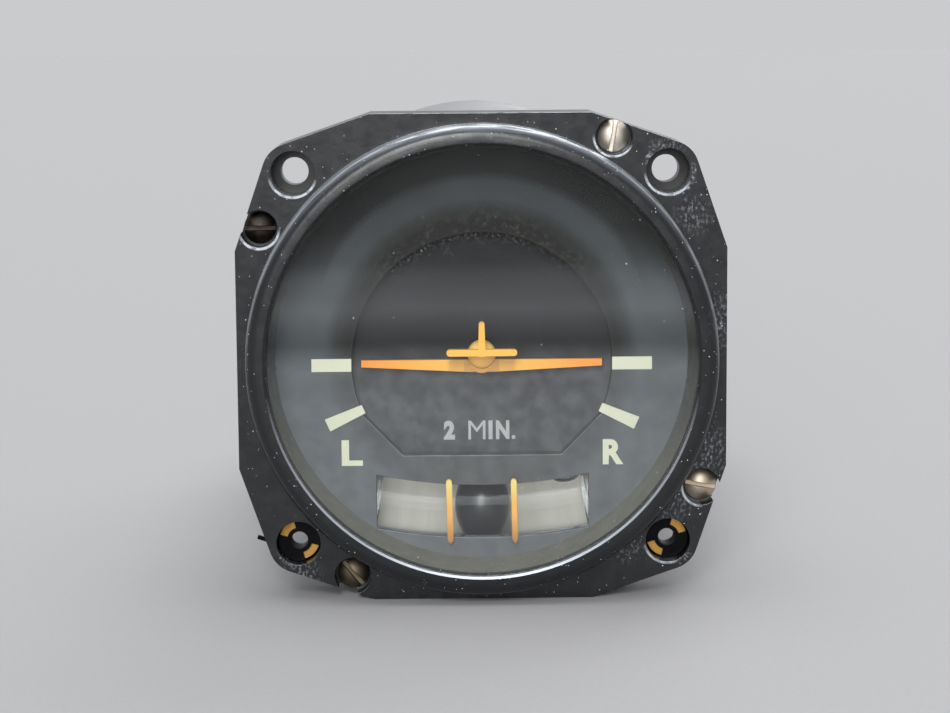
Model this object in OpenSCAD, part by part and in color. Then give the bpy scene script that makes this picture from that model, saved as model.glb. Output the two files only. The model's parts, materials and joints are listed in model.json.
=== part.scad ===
// Rate of turn indicator: a 3 1/8 inch panel instrument with a canted, electrically driven
// rate gyro that turns a miniature airplane, and a ball inclinometer below it.
// X points right on the dial, Y points back into the case, Z points up.
// The origin lies on the instrument's axis, in the front face of the mounting flange.

/* [Flange] */
// Width across the flats of the square flange
flange_w = 82.55; // [81:0.05:84]
// Length of each straight side of the flange
flange_flat = 37; // [34:0.5:40]
// Distance between mounting holes, across and down
mount_pitch = 62.87; // [62.2:0.01:63.6]
// Radius of the rounded corner lobes round the mounting holes
lobe_r = 5.1; // [4.9:0.05:5.6]
// Radius of the mounting holes in the bezel
bezel_hole_r = 3.75; // [3.6:0.05:3.9]
// Radius of the mounting holes in the case flange
case_hole_r = 2.35; // [2.2:0.05:2.6]
// Thickness of the bezel's flange
bezel_flange_t = 7; // [6.5:0.1:8]
// Thickness of the case's flange
case_flange_t = 4; // [3:0.1:5]

/* [Bezel ring] */
// Outer radius of the ring that passes through the panel
ring_r = 39.6; // [39.4:0.05:39.8]
// Height of the ring above the flange
ring_proud = 6; // [5:0.1:7]
// Rounding of the ring's outer shoulder
ring_round = 2; // [1:0.1:2.4]
// Inner radius of the lip that holds the glass
lip_r = 36.1; // [35.5:0.05:36.4]
// Thickness of the lip
lip_t = 1.4; // [1:0.1:2]
// Width of the bevel on the lip's inner edge
lip_bevel = 0.5; // [0.2:0.1:0.8]
// Radius of the bore that the glass sits in
bezel_bore_r = 37.6; // [37.4:0.05:37.8]

/* [Glass and dial] */
// Thickness of the glass gasket
gasket_t = 0.5; // [0.3:0.05:0.8]
// Thickness of the cover glass
glass_t = 2.4; // [2:0.1:3]
// Radius of the spacer ring's bore beside the glass
spacer_front_r = 36.2; // [35.8:0.05:36.4]
// Radius of the spacer ring's bore beside the dial
spacer_back_r = 35.2; // [34.8:0.05:35.6]
// Thickness of the dial mask
mask_t = 1; // [0.6:0.1:1.5]
// Radius of the round part of the dial opening
opening_r = 22.3; // [21.8:0.1:23]
// Distance of the opening's centre below the axis
opening_drop = 1.3; // [0.8:0.1:1.8]
// Distance of the opening's flat lower edge below the axis
opening_base = 17.4; // [16.5:0.1:18]
// Half width of the opening's flat lower edge
opening_base_half = 13.6; // [12:0.1:14]
// Slope of the opening's lower corners, in degrees
opening_corner_slope = 46; // [40:1:50]
// Depth of the recess behind the opening
recess_depth = 3.3; // [2.8:0.1:3.6]
// Wall of the recessed background tray
tray_wall = 0.8; // [0.6:0.1:1]
// Distance of the level marks below the axis
mark_drop = 1.63; // [1.3:0.01:2]
// Length of the dial marks
mark_len = 6.8; // [6:0.1:7.5]
// Height of the level marks
mark_h = 2.2; // [1.8:0.1:2.6]
// Thickness of the dial marks
mark_t = 0.15; // [0.1:0.01:0.2]
// Slope of the standard rate marks, in degrees
rate_slope = 24.4; // [22:0.1:27]

/* [Inclinometer] */
// Radius of the curved tube's centreline
arc_r = 92; // [88:1:96]
// Distance of the tube's lowest centre point below the axis
arc_drop = 27.2; // [26.9:0.1:27.4]
// Inner radius of the glass tube
tube_bore_r = 5; // [4.95:0.05:5.1]
// Wall of the glass tube
tube_wall = 0.5; // [0.4:0.05:0.5]
// Radius of the ball
ball_r = 4.76; // [4.6:0.01:4.8]
// Half height of the window in the dial mask
window_half_h = 4.6; // [4.3:0.1:4.8]
// Half width of the window in the dial mask
window_half_w = 18.2; // [17.5:0.1:18.4]
// Length of each end plug along the tube
plug_len = 1.1; // [0.8:0.1:1.3]
// Distance of each lubber wire from the middle
wire_x = 5.55; // [5.2:0.05:6]
// Width of a lubber wire
wire_w = 1; // [0.8:0.05:1.2]
// Length of a lubber wire
wire_len = 11.3; // [10.8:0.1:11.6]

/* [Case] */
// Outer radius of the case body
case_r = 38.9; // [38.8:0.05:39.4]
// Wall of the case body
case_wall = 1.5; // [1.3:0.05:1.55]
// Inner radius of the case's front lip
case_lip_r = 35.6; // [35.3:0.1:36]
// Length of the case from its front face to its rear rim
case_len = 121; // [121:0.5:130]
// Thickness of the rear cover
cover_t = 3; // [2:0.1:4]
// Thickness of the rear gasket
cover_gasket_t = 0.5; // [0.3:0.05:0.8]
// Distance of the rear cover's screws from the axis
cover_screw_ring = 34; // [33.8:0.05:34.2]

/* [Screws and nuts] */
// Distance of the bezel screws from the axis
bezel_screw_ring = 43.3; // [43.2:0.05:43.6]
// Turn of the first bezel screw round the axis, in degrees
bezel_screw_turn = 59.1; // [58.5:0.1:60]
// Radius of a bezel screw's head
bezel_head_r = 2.7; // [2.5:0.05:2.8]
// Radius of the notch round a bezel screw's head
notch_r = 3.15; // [3:0.05:3.3]
// Depth of the notch below the flange's face
notch_depth = 3.6; // [3:0.1:4]
// Radius of a bezel screw's thread
bezel_screw_r = 1.42; // [1.3:0.01:1.5]
// Outer radius of a mounting nut
nut_r = 3.45; // [3.3:0.05:3.5]
// Length of a mounting nut
nut_len = 3.2; // [2.6:0.1:3.3]
// Radius of a mounting nut's threaded bore
nut_bore_r = 1.4; // [1.3:0.05:1.5]
// Thickness of the nuts' spring clips
clip_t = 0.5; // [0.4:0.05:0.5]

/* [Gyro] */
// Angle of the gimbal's axis above the horizontal, in degrees
gimbal_cant = 30; // [28:0.5:32]
// Distance of the rotor's centre behind the flange's face
rotor_y = 76; // [75:0.5:77]
// Radius of the rotor wheel
rotor_r = 17.5; // [16:0.1:17.7]
// Width of the rotor wheel
rotor_w = 24; // [20:0.5:24.5]
// Thickness of the rotor's rim
rotor_rim = 4; // [3:0.1:5]
// Radius of the rotor's shaft
rotor_shaft_r = 1.5; // [1.2:0.05:1.8]
// Inner half width of the gimbal frame
frame_in_x = 16.5; // [16.3:0.1:16.8]
// Inner half length of the gimbal frame
frame_in_y = 20.5; // [20:0.1:21]
// Width of the gimbal frame's bars
frame_bar = 4.5; // [4:0.1:4.6]
// Height of the gimbal frame's bars
frame_h = 10; // [8:0.5:10.5]
// Radius of the gimbal's pivot pins
pivot_r = 1.2; // [1:0.05:1.4]
// Outer radius of the gimbal's bearings
pivot_bearing_r = 3; // [2.6:0.1:3.2]
// Distance of the pivot bearings' centres from the rotor's centre
pivot_reach = 31.5; // [31:0.1:32]
// Turns of the pointer for each turn of the gimbal
pointer_ratio = 2; // [1.95:0.01:2.05]
// Distance of the crank ball ahead of the rotor's centre, along the gimbal's axis
crank_reach = 24.5; // [24.3:0.1:24.8]
// Radius of the ball on the crank
crank_ball_r = 0.9; // [0.7:0.05:1]

/* [Pointer] */
// Span of the miniature airplane
wing_span = 41.2; // [40:0.1:42]
// Height of the wing at its tips
wing_tip_h = 1.17; // [1:0.05:1.4]
// Height of the wing at its root
wing_root_h = 2.1; // [1.8:0.05:2.4]
// Thickness of the wing
wing_t = 0.8; // [0.6:0.05:1]
// Radius of the fuselage's round front
fuselage_r = 2.45; // [2.2:0.05:2.7]
// Length of the fuselage
fuselage_len = 5.4; // [5:0.1:5.8]
// Span of the tailplane
tail_span = 12; // [11:0.1:13]
// Height of the tailplane
tail_h = 1.15; // [1:0.05:1.3]
// Height of the fin's top above the axis
fin_top = 5.95; // [5.5:0.05:6.4]
// Radius of the pointer's shaft
pointer_shaft_r = 1; // [0.8:0.05:1.2]
// Half width of the slot in the pointer's fork
fork_slot = 1.45; // [1.35:0.05:1.5]

/* [Damper and springs] */
// Distance of the damper's line above the gimbal's axis
damper_rise = 16; // [15.5:0.1:16.3]
// Inner radius of the damper's cylinder
damper_bore_r = 3; // [2.6:0.1:3.1]
// Wall of the damper's cylinder
damper_wall = 0.8; // [0.6:0.1:0.8]
// Outer radius of the restraint springs
spring_r = 1.9; // [1.6:0.1:1.9]
// Wire of the restraint springs
spring_wire = 0.6; // [0.4:0.05:0.7]

/* [Rear connector] */
// Outer radius of the connector's shell
shell_r = 7.94; // [7.9:0.01:8]
// Length of the shell behind its flange
shell_len = 13.5; // [12.5:0.1:16]
// Wall of the shell
shell_wall = 1.34; // [1.2:0.01:1.4]
// Width of the connector's square flange
shell_flange_w = 22; // [21:0.1:24]
// Radius of a connector pin
pin_r = 0.8; // [0.7:0.05:0.9]
// Distance of the pins from the connector's axis
pin_ring = 3.2; // [3:0.05:3.4]

/* [Fits] */
// Radial gap of a part that sits in its seat
seat_gap = 0.1; // [0.05:0.01:0.15]
// Radial gap of a shaft in its bearing
running_gap = 0.04; // [0.02:0.01:0.08]
// Radial gap of a screw in its threaded hole
thread_gap = 0.03; // [0.02:0.01:0.06]
// Radial gap of a screw in a through hole
screw_gap = 0.2; // [0.1:0.05:0.3]

/* [Hidden] */
$fn = 64;

// Radii that several pieces share
case_bore_r = case_r - case_wall;
dial_r = bezel_bore_r - 2 * seat_gap;

// Places along the axis
ring_front = -ring_proud;
lip_back = ring_front + lip_t;
glass_front = lip_back + gasket_t;
glass_back = glass_front + glass_t;
joint_y = bezel_flange_t;
mask_front = joint_y - mask_t;
case_flange_back = joint_y + case_flange_t;
case_end = joint_y + case_len;
cover_front = case_end + cover_gasket_t;
cover_back = cover_front + cover_t;

// Flange outline, drawn for one corner and turned four times
flange_half = flange_w / 2;
flat_half = flange_flat / 2;
lobe_c = mount_pitch / 2;
corner_reach = norm([lobe_c - flat_half, lobe_c - flange_half]);
side_slope = atan2(flange_half - lobe_c, lobe_c - flat_half) - asin(lobe_r / corner_reach);
lobe_steps = 8;
lobe_arc = [for (i = [0:lobe_steps]) side_slope + (90 - 2 * side_slope) * i / lobe_steps];
corner_points = concat(
  [[flange_half, flat_half]],
  [for (a = lobe_arc) [lobe_c + lobe_r * cos(a), lobe_c + lobe_r * sin(a)]],
  [[flat_half, flange_half]]
);
mount_points = [for (x = [-1, 1], z = [-1, 1]) [x * lobe_c, z * lobe_c]];
nut_points = [for (x = [-1, 1]) [x * lobe_c, -lobe_c]];

// Bezel screws, in the order right top, left, left bottom, right
slot_turns = [80, 0, 130, -10];
head_flat = 1;
head_dome = 1.2;
head_ball_r = (bezel_head_r * bezel_head_r + head_dome * head_dome) / (2 * head_dome);
slot_w = 0.75;
slot_depth = 1.1;

// Seal between bezel and case
seal_ring = (bezel_bore_r + bezel_screw_ring - bezel_screw_r) / 2 - 0.6;
seal_r = 0.6;

// Mounting nuts and their clips
clip_back = joint_y - seat_gap;
nut_back = clip_back - clip_t;
nut_front = nut_back - nut_len;
nut_flat = nut_r - clip_t + 0.05;
clip_edge_r = nut_r + 0.15;
window_inner_r = 2.15;
window_half_turn = 29.5;
tail_turns = [188, -38];
tail_tips = [2, 0.4];
tail_reach = lobe_r + 0.7;
tail_bend = -26;
tail_w = 0.7;
groove_w = tail_w + 0.8;

// Background tray
tray_front = mask_front + recess_depth;
tray_back = tray_front + tray_wall;

// Standard rate marks
mark_inner = opening_r - 0.05;
rate_inner_h = 1.55;
rate_outer_h = 2.25;

// Inclinometer
tube_r = tube_bore_r + tube_wall;
tube_front_gap = 0.5;
tube_y = joint_y + tube_front_gap + tube_r;
arc_z = arc_r - arc_drop;
ball_half_turn = asin(ball_r / arc_r);
plug_turn = plug_len / arc_r * 180 / PI;
window_turn = asin(window_half_w / arc_r);
plug_start = window_turn + 0.1;
tube_turn = plug_start + plug_turn;
backing_front = tube_y + tube_r + seat_gap;
backing_t = 0.5;
bracket_front = backing_front + backing_t;
bracket_t = 0.8;
pillar_r = 0.9;
upper_pillar_gap = 0.35;
lower_pillar_gap = 0.4;
upper_pillar = [12, -(opening_base + tray_wall + pillar_r + upper_pillar_gap)];
lower_pillar = [4, -(arc_drop + tube_r + pillar_r + lower_pillar_gap)];
wire_t = 0.8;
wire_stand = 0.2;
wire_front = mask_front - wire_stand - wire_t;
wire_foot = -arc_drop - wire_len / 2 + 0.1;
wire_point_slope = 55;
wire_lean = 1.2;

// Case and the frame inside it
case_lip_t = 1.5;
bulkhead_t = 2;
bulkhead_y = bracket_front + bracket_t + 1.1;
bulkhead_back = bulkhead_y + bulkhead_t;
bulkhead_r = case_bore_r - seat_gap;
rear_bulkhead_reach = 34;
rear_bulkhead_y = rotor_y + rear_bulkhead_reach;
rear_bulkhead_back = rear_bulkhead_y + bulkhead_t;
post_inset = 10.4;
post_x = case_bore_r - post_inset;
post_z = 16;
post_r = 2.2;
post_points = [for (x = [-1, 1], z = [-1, 1]) [x * post_x, z * post_z]];
boss_r = 3.6;
boss_len = 9;
boss_web = 2;
cover_points = [for (k = [0:3]) cover_screw_ring * [cos(90 * k), sin(90 * k)]];
cover_screw_r = 1.2;
small_screw_r = 1.2;
small_head_r = 2.4;
small_head_h = 1.5;
post_thread = 7;
frame_screw_reach = 6;

// Gimbal, drawn level about the rotor's centre and then canted
frame_out_x = frame_in_x + frame_bar;
frame_out_y = frame_in_y + frame_bar;
frame_z = frame_h / 2;
crank_len = crank_reach * sin(gimbal_cant) / (cos(gimbal_cant) - 1 / pointer_ratio);
crank_ball_y = rotor_y - crank_reach * cos(gimbal_cant) - crank_len * sin(gimbal_cant);
crank_ball_z = crank_reach * sin(gimbal_cant) - crank_len * cos(gimbal_cant);
arm_w = 3;
arm_t = 2;
arm_front = -(frame_in_y + arm_t);
pivot_bearing_w = 2.5;
pivot_back_gap = 0.6;
yoke_t = 5.5;
yoke_y = pivot_reach * cos(gimbal_cant);
yoke_z = pivot_reach * sin(gimbal_cant);
yoke_half_h = 6;
yoke_half_w = post_x + post_r + 0.7;
stop_r = 1;
stop_x = 19.5;
tilt_limit = 15;
stop_z = frame_out_y * sin(gimbal_cant)
  + (frame_z * cos(tilt_limit) + frame_out_x * sin(tilt_limit)) * cos(gimbal_cant)
  + stop_r + 0.3;
bearing_w = 3;
bearing_r = 3.5;
commutator_r = 3.5;
commutator_w = 5;
commutator_x = 4.5;
brush_gap = 0.15;

// Pointer
bushing_r = 3;
bushing_len = 4;
bridge_y = bulkhead_back + 8;
bridge_t = 2;
bridge_half_w = 19;
bridge_half_h = 5;
bridge_pillar_x = 15;
bridge_pillar_r = 2;
fork_t = 1.1;
fork_front = crank_ball_y - fork_t / 2;
fork_hub_r = 3;
fork_end = -crank_ball_z + 4.3;
fork_slot_start = -crank_ball_z - 3.4;
wing_y = mask_front + 1.4;
wing_top = mark_drop - wing_tip_h / 2;
fuselage_back = wing_y + wing_t + 0.5;
fuselage_front = fuselage_back - fuselage_len;
fuselage_z = -0.2;
dome_len = 1.6;
shaft_seat = 1.8;
boom_r = 0.5;
boom_z = 0.4;
tail_t = 1.1;
tail_z = 0.65;
fin_root_w = 1.3;
fin_tip_w = 0.95;
belly_r = 2.2;
belly_z = -1.1;

// Damper, along X above the gimbal's front bar
damper_y = -21;
damper_r = damper_bore_r + damper_wall;
damper_start = 7;
damper_end = 22;
damper_end_wall = 1;
piston_gap = 0.1;
piston_x = 13.5;
piston_w = 2;
rod_r = 0.9;
eye_half = 1.9;
eye_t = 1.2;
eye_slot = 0.95;
damper_pin_r = 0.7;
damper_global_y = rotor_y + damper_y * cos(gimbal_cant) + damper_rise * sin(gimbal_cant);
damper_global_z = -damper_y * sin(gimbal_cant) + damper_rise * cos(gimbal_cant);

// Restraint springs
spring_x = frame_in_x + frame_bar / 2;
anchor_top = -21.2;
anchor_h = 1.8;
spring_top = -frame_z / cos(gimbal_cant) - spring_r * tan(gimbal_cant) - 0.15;

// Rear end
board_inset = 7.4;
board_r = case_bore_r - board_inset;
board_t = 1.6;
board_y = rear_bulkhead_back + 5;
board_back = board_y + board_t;
standoff_inset = 5;
standoff_ring = board_r - standoff_inset;
standoff_r = 2.5;
capacitor_points = [[-17, 8], [-17, -1], [16, -9]];
capacitor_r = 3.5;
capacitor_len = 8;
choke_point = [15, 7];
choke_r = 5.5;
choke_bore_r = 2;
choke_len = 6;
shell_flange_t = 1.6;
shell_back = cover_back + shell_flange_t;
shell_end = shell_back + shell_len;
shell_bore_r = shell_r - shell_wall;
shell_nose_r = 7.5;
shell_nose = 4;
insert_back = shell_end - 9.5;
insert_front = cover_front - shell_nose;
pin_end = shell_end - 4.5;
pin_points = [for (k = [0:2]) pin_ring * [cos(90 + 120 * k), sin(90 + 120 * k)]];
shell_screw_x = shell_flange_w / 2 - 2.6;
shell_screw_points = [for (x = [-1, 1], z = [-1, 1]) [x * shell_screw_x, z * shell_screw_x]];
shell_screw_r = 1.1;

// Solids drawn about the instrument's axis
module plate(y0, y1) {
  translate([0, y1, 0]) rotate([90, 0, 0]) linear_extrude(y1 - y0) children();
}

module rod(r, y0, y1) {
  translate([0, y1, 0]) rotate([90, 0, 0]) cylinder(r = r, h = y1 - y0);
}

module rod_at(p, r, y0, y1) {
  translate([p[0], 0, p[1]]) rod(r, y0, y1);
}

module tube(r_out, r_in, y0, y1) {
  difference() {
    rod(r_out, y0, y1);
    rod(r_in, y0 - 1, y1 + 1);
  }
}

module turned(points) {
  rotate([90, 0, 0]) rotate_extrude() polygon([for (p = points) [p[0], -p[1]]]);
}

module arc_sweep(half_turn, start_turn = undef) {
  from = start_turn == undef ? -half_turn : start_turn;
  translate([0, tube_y, arc_z])
    rotate([90, 0, 0])
      rotate([0, 0, -90 + from])
        rotate_extrude(angle = half_turn - from) translate([arc_r, 0]) children();
}

module arc_band(half_h, half_w) {
  intersection() {
    translate([0, arc_z]) difference() {
      circle(arc_r + half_h, $fn = 180);
      circle(arc_r - half_h, $fn = 180);
    }
    translate([-half_w, -arc_drop - half_h - 1]) square([2 * half_w, 2 * half_h + 8]);
  }
}

module flange_outline() {
  polygon([
    for (k = [0:3], p = corner_points)
      [p[0] * cos(90 * k) - p[1] * sin(90 * k), p[0] * sin(90 * k) + p[1] * cos(90 * k)]
  ]);
}

module each_bezel_screw() {
  for (k = [0:3]) {
    a = bezel_screw_turn + 90 * k;
    translate([bezel_screw_ring * cos(a), 0, bezel_screw_ring * sin(a)])
      rotate([0, -slot_turns[k], 0]) children();
  }
}

module opening_outline(grow) {
  base = opening_base + grow;
  corner_half = opening_base_half + grow * tan((90 - opening_corner_slope) / 2);
  reach = 3 * opening_r;
  intersection() {
    translate([0, -opening_drop]) circle(opening_r + grow, $fn = 128);
    polygon([
      [-corner_half, -base],
      [corner_half, -base],
      [corner_half + reach * cos(opening_corner_slope), -base + reach * sin(opening_corner_slope)],
      [-corner_half - reach * cos(opening_corner_slope), -base + reach * sin(opening_corner_slope)]
    ]);
  }
}

// Solids drawn in the gimbal's own canted space
module gimbal_space() {
  translate([0, rotor_y, 0]) rotate([-gimbal_cant, 0, 0]) children();
}

module cross_rod(r, x0, x1) {
  translate([x0, 0, 0]) rotate([0, 90, 0]) cylinder(r = r, h = x1 - x0);
}

module block(lo, hi) {
  translate(lo) cube(hi - lo);
}

// Front of the instrument
module bezel() {
  color("#1a1b1d") difference() {
    union() {
      plate(0, joint_y) flange_outline();
      turned(concat(
        [[lip_r - 2, 1], [ring_r, 1], [ring_r, ring_front + ring_round]],
        [for (a = [15:15:90])
          [ring_r - ring_round + ring_round * cos(a), ring_front + ring_round - ring_round * sin(a)]],
        [[lip_r - 2, ring_front]]
      ));
    }
    rod(lip_r, ring_front - 1, joint_y + 1);
    rod(bezel_bore_r, lip_back, joint_y + 1);
    turned([
      [lip_r - 1, ring_front - 1], [lip_r + lip_bevel + 1, ring_front - 1],
      [lip_r - 1, ring_front + lip_bevel + 1]
    ]);
    for (p = mount_points) rod_at(p, bezel_hole_r, -1, joint_y + 1);
    each_bezel_screw() {
      rod(notch_r, -1, notch_depth);
      rod(bezel_screw_r + screw_gap, -1, joint_y + 1);
    }
    tube(seal_ring + seal_r + seat_gap, seal_ring - seal_r - seat_gap,
      joint_y - 2 * seal_r, joint_y + 1);
    for (k = [0:1])
      translate([nut_points[k][0], 0, nut_points[k][1]]) rotate([0, -tail_turns[k], 0])
        block([0, nut_back - seat_gap, -groove_w / 2], [2 * lobe_r, joint_y + 1, groove_w / 2]);
  }
}

module glass_gasket() {
  color("#26221f") tube(bezel_bore_r - seat_gap, lip_r + 0.3, lip_back, glass_front);
}

module cover_glass() {
  color("#c8d4d8", 0.3) rod(dial_r, glass_front, glass_back);
}

module spacer_ring() {
  color("#8b8a80") turned([
    [spacer_front_r, glass_back], [dial_r, glass_back],
    [dial_r, mask_front], [spacer_back_r, mask_front]
  ]);
}

module dial_mask() {
  color("#2b2c2f") difference() {
    rod(dial_r, mask_front, joint_y);
    plate(mask_front - 1, joint_y + 1) {
      opening_outline(0);
      arc_band(window_half_h, window_half_w);
    }
  }
}

module rate_mark() {
  rotate(-rate_slope) polygon([
    [mark_inner, -rate_inner_h / 2], [mark_inner + mark_len, -rate_outer_h / 2],
    [mark_inner + mark_len, rate_outer_h / 2], [mark_inner, rate_inner_h / 2]
  ]);
}

module dial_marks() {
  color("#dedec8") plate(mask_front - mark_t, mask_front) for (s = [0, 1]) mirror([s, 0]) {
    translate([mark_inner, -mark_drop - mark_h / 2]) square([mark_len, mark_h]);
    rate_mark();
  }
}

module background_tray() {
  color("#33353a") difference() {
    plate(joint_y, tray_back) opening_outline(tray_wall);
    plate(joint_y - 1, tray_front) opening_outline(0);
    rod(pointer_shaft_r + 0.6, tray_front - 1, tray_back + 1);
  }
}

// Inclinometer
module inclinometer_tube() {
  color("#cfd6d2", 0.35) arc_sweep(tube_turn) difference() {
    circle(tube_r);
    circle(tube_bore_r);
  }
}

module inclinometer_plugs() {
  color("#c9c4b2") for (s = [0, 1]) mirror([s, 0, 0])
    arc_sweep(tube_turn, plug_start) circle(tube_bore_r - running_gap);
}

module inclinometer_backing() {
  color("#b4b1a5") plate(backing_front, bracket_front)
    arc_band(window_half_h + 0.3, window_half_w - 0.4);
}

module inclinometer_bracket() {
  color("#8f9296") {
    plate(bracket_front, bracket_front + bracket_t) {
      intersection() {
        arc_band(tube_r + 1.7, window_half_w - 1.2);
        circle(case_bore_r - 0.8);
      }
      for (s = [-1, 1], p = [upper_pillar, lower_pillar])
        translate([s * p[0], p[1]]) circle(pillar_r + 0.5);
    }
    for (s = [-1, 1], p = [upper_pillar, lower_pillar])
      rod_at([s * p[0], p[1]], pillar_r, joint_y, bracket_front + 0.1);
  }
}

module inclinometer_ball() {
  color("#1b1c20") translate([0, tube_y, -arc_drop]) sphere(ball_r);
}

// Each wire stands on its point and leans a little to the left
module lubber_wires() {
  round_z = wire_len - wire_w / 2;
  color("#e6992f") for (s = [-1, 1])
    translate([s * wire_x, 0, wire_foot]) rotate([0, -wire_lean, 0]) {
      difference() {
        union() {
          block([-wire_w / 2, wire_front, 0], [wire_w / 2, wire_front + wire_t, round_z]);
          rod_at([0, round_z], wire_w / 2, wire_front, wire_front + wire_t);
        }
        for (m = [-1, 1])
          translate([0, mask_front, 0]) rotate([0, m * wire_point_slope, 0])
            block([-4, -4, -4], [4, 4, 0]);
      }
      for (z = [1.05, wire_len - 0.7])
        block([-wire_w / 4, wire_front + wire_t - 0.1, z - 0.3], [wire_w / 4, mask_front, z + 0.3]);
    }
}

// Case and fasteners of the front joint
module case() {
  color("#a9acb0") difference() {
    union() {
      plate(joint_y, case_flange_back) flange_outline();
      rod(case_r, joint_y, case_end);
    }
    rod(case_lip_r, joint_y - 1, joint_y + case_lip_t + 1);
    difference() {
      rod(case_bore_r, joint_y + case_lip_t, case_end + 1);
      for (k = [0:3]) rotate([0, -90 * k, 0]) {
        rod_at([cover_screw_ring, 0], boss_r, case_end - boss_len, case_end + 2);
        block([cover_screw_ring, case_end - boss_len, -boss_web / 2],
          [case_r - case_wall / 2, case_end + 2, boss_web / 2]);
      }
    }
    for (p = cover_points)
      rod_at(p, cover_screw_r + thread_gap, case_end - boss_len + 1, case_end + 1);
    for (p = mount_points) rod_at(p, case_hole_r, joint_y - 1, case_flange_back + 1);
    each_bezel_screw() rod(bezel_screw_r + thread_gap, joint_y - 1, case_flange_back + 1);
  }
}

module case_seal() {
  color("#1c1c1c") translate([0, joint_y - seal_r, 0]) rotate([90, 0, 0])
    rotate_extrude() translate([seal_ring, 0]) circle(seal_r, $fn = 32);
}

module slotted_head(r, flat_h, dome_h, ball, width, depth) {
  difference() {
    intersection() {
      rod(r, -flat_h - dome_h, 0);
      translate([0, ball - flat_h - dome_h, 0]) sphere(ball);
    }
    block([-2 * r, -flat_h - dome_h - 1, -width / 2], [2 * r, -flat_h - dome_h + depth, width / 2]);
  }
}

module bezel_screws() {
  color("#8c8273") each_bezel_screw() {
    translate([0, notch_depth, 0])
      slotted_head(bezel_head_r, head_flat, head_dome, head_ball_r, slot_w, slot_depth);
    rod(bezel_screw_r, notch_depth, case_flange_back);
  }
}

module mount_nuts() {
  color("#b08d4a") for (p = nut_points) translate([p[0], 0, p[1]])
    rotate([0, -atan2(p[1], p[0]), 0]) difference() {
      rod(nut_r, nut_front, nut_back);
      rod(nut_bore_r, nut_front - 1, nut_back + 1);
      for (s = [0, 1]) mirror([s, 0, 0])
        block([nut_flat, nut_front - 1, -nut_r], [nut_r + 1, nut_back + 1, nut_r]);
    }
}

module clip_tail(turn, tip) {
  rotate([0, -turn, 0]) {
    block([nut_bore_r + 1, nut_back, -tail_w / 2], [tail_reach, clip_back, tail_w / 2]);
    translate([tail_reach - 0.2, 0, 0]) rotate([0, -tail_bend, 0])
      block([0, nut_back, -tail_w / 2], [tip, clip_back, tail_w / 2]);
  }
}

// The clip's face, with two windows through which the nut shows
module clip_face() {
  reach = 2 * nut_r;
  half = reach * tan(window_half_turn);
  difference() {
    circle(clip_edge_r);
    circle(nut_bore_r + 0.1);
    for (s = [0, 1]) mirror([0, s]) difference() {
      polygon([[0, 0], [half, reach], [-half, reach]]);
      circle(window_inner_r);
    }
  }
}

module nut_clips() {
  color("#1d1d1f") for (k = [0:1]) translate([nut_points[k][0], 0, nut_points[k][1]]) {
    rotate([0, -atan2(nut_points[k][1], nut_points[k][0]), 0]) {
      plate(nut_front - clip_t, nut_front) clip_face();
      for (s = [0, 1]) mirror([s, 0, 0])
        block([nut_flat + 0.05, nut_front - clip_t, -1.2],
          [nut_flat + clip_t - 0.05, clip_back, 1.2]);
    }
    tube(nut_r + 0.1, nut_bore_r + 0.3, nut_back, clip_back);
    clip_tail(tail_turns[k], tail_tips[k]);
  }
}

// Frame inside the case
module bulkhead(y0, y1) {
  difference() {
    rod(bulkhead_r, y0, y1);
    for (p = cover_points) rod_at(p, boss_r + 0.3, y0 - 1, y1 + 1);
    for (p = post_points) rod_at(p, small_screw_r + screw_gap, y0 - 1, y1 + 1);
    children();
  }
}

module front_bulkhead() {
  color("#9a9da1") bulkhead(bulkhead_y, bulkhead_back) {
    rod(bushing_r + thread_gap, bulkhead_y - 1, bulkhead_back + 1);
  }
}

module rear_bulkhead() {
  color("#9a9da1") bulkhead(rear_bulkhead_y, rear_bulkhead_back) {
    rod(shell_r, rear_bulkhead_y - 1, rear_bulkhead_back + 1);
  }
}

module bulkhead_posts() {
  color("#b5b7ba") for (p = post_points) difference() {
    rod_at(p, post_r, bulkhead_back, rear_bulkhead_y);
    rod_at(p, small_screw_r + thread_gap, bulkhead_back - 1, bulkhead_back + post_thread);
    rod_at(p, small_screw_r + thread_gap, rear_bulkhead_y - post_thread, rear_bulkhead_y + 1);
  }
}

module frame_screws() {
  color("#8e8f91") for (p = post_points) {
    rod_at(p, small_head_r, bulkhead_y - small_head_h + 0.5, bulkhead_y);
    rod_at(p, small_screw_r, bulkhead_y - 0.1, bulkhead_back + frame_screw_reach);
    rod_at(p, small_head_r, rear_bulkhead_back, rear_bulkhead_back + small_head_h);
    rod_at(p, small_screw_r, rear_bulkhead_y - frame_screw_reach, rear_bulkhead_back + 0.1);
  }
}

module pointer_bushings() {
  color("#b08d4a") {
    tube(bushing_r, pointer_shaft_r + running_gap, bulkhead_back - bushing_len, bulkhead_back);
    tube(bushing_r, pointer_shaft_r + running_gap, bridge_y, bridge_y + bridge_t + 0.5);
  }
}

module pointer_bridge() {
  color("#9a9da1") difference() {
    union() {
      block([-bridge_half_w, bridge_y, -bridge_half_h],
        [bridge_half_w, bridge_y + bridge_t, bridge_half_h]);
      for (s = [-1, 1])
        rod_at([s * bridge_pillar_x, 0], bridge_pillar_r, bulkhead_back, bridge_y + 0.1);
    }
    rod(bushing_r + thread_gap, bridge_y - 1, bridge_y + bridge_t + 1);
  }
}

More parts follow.
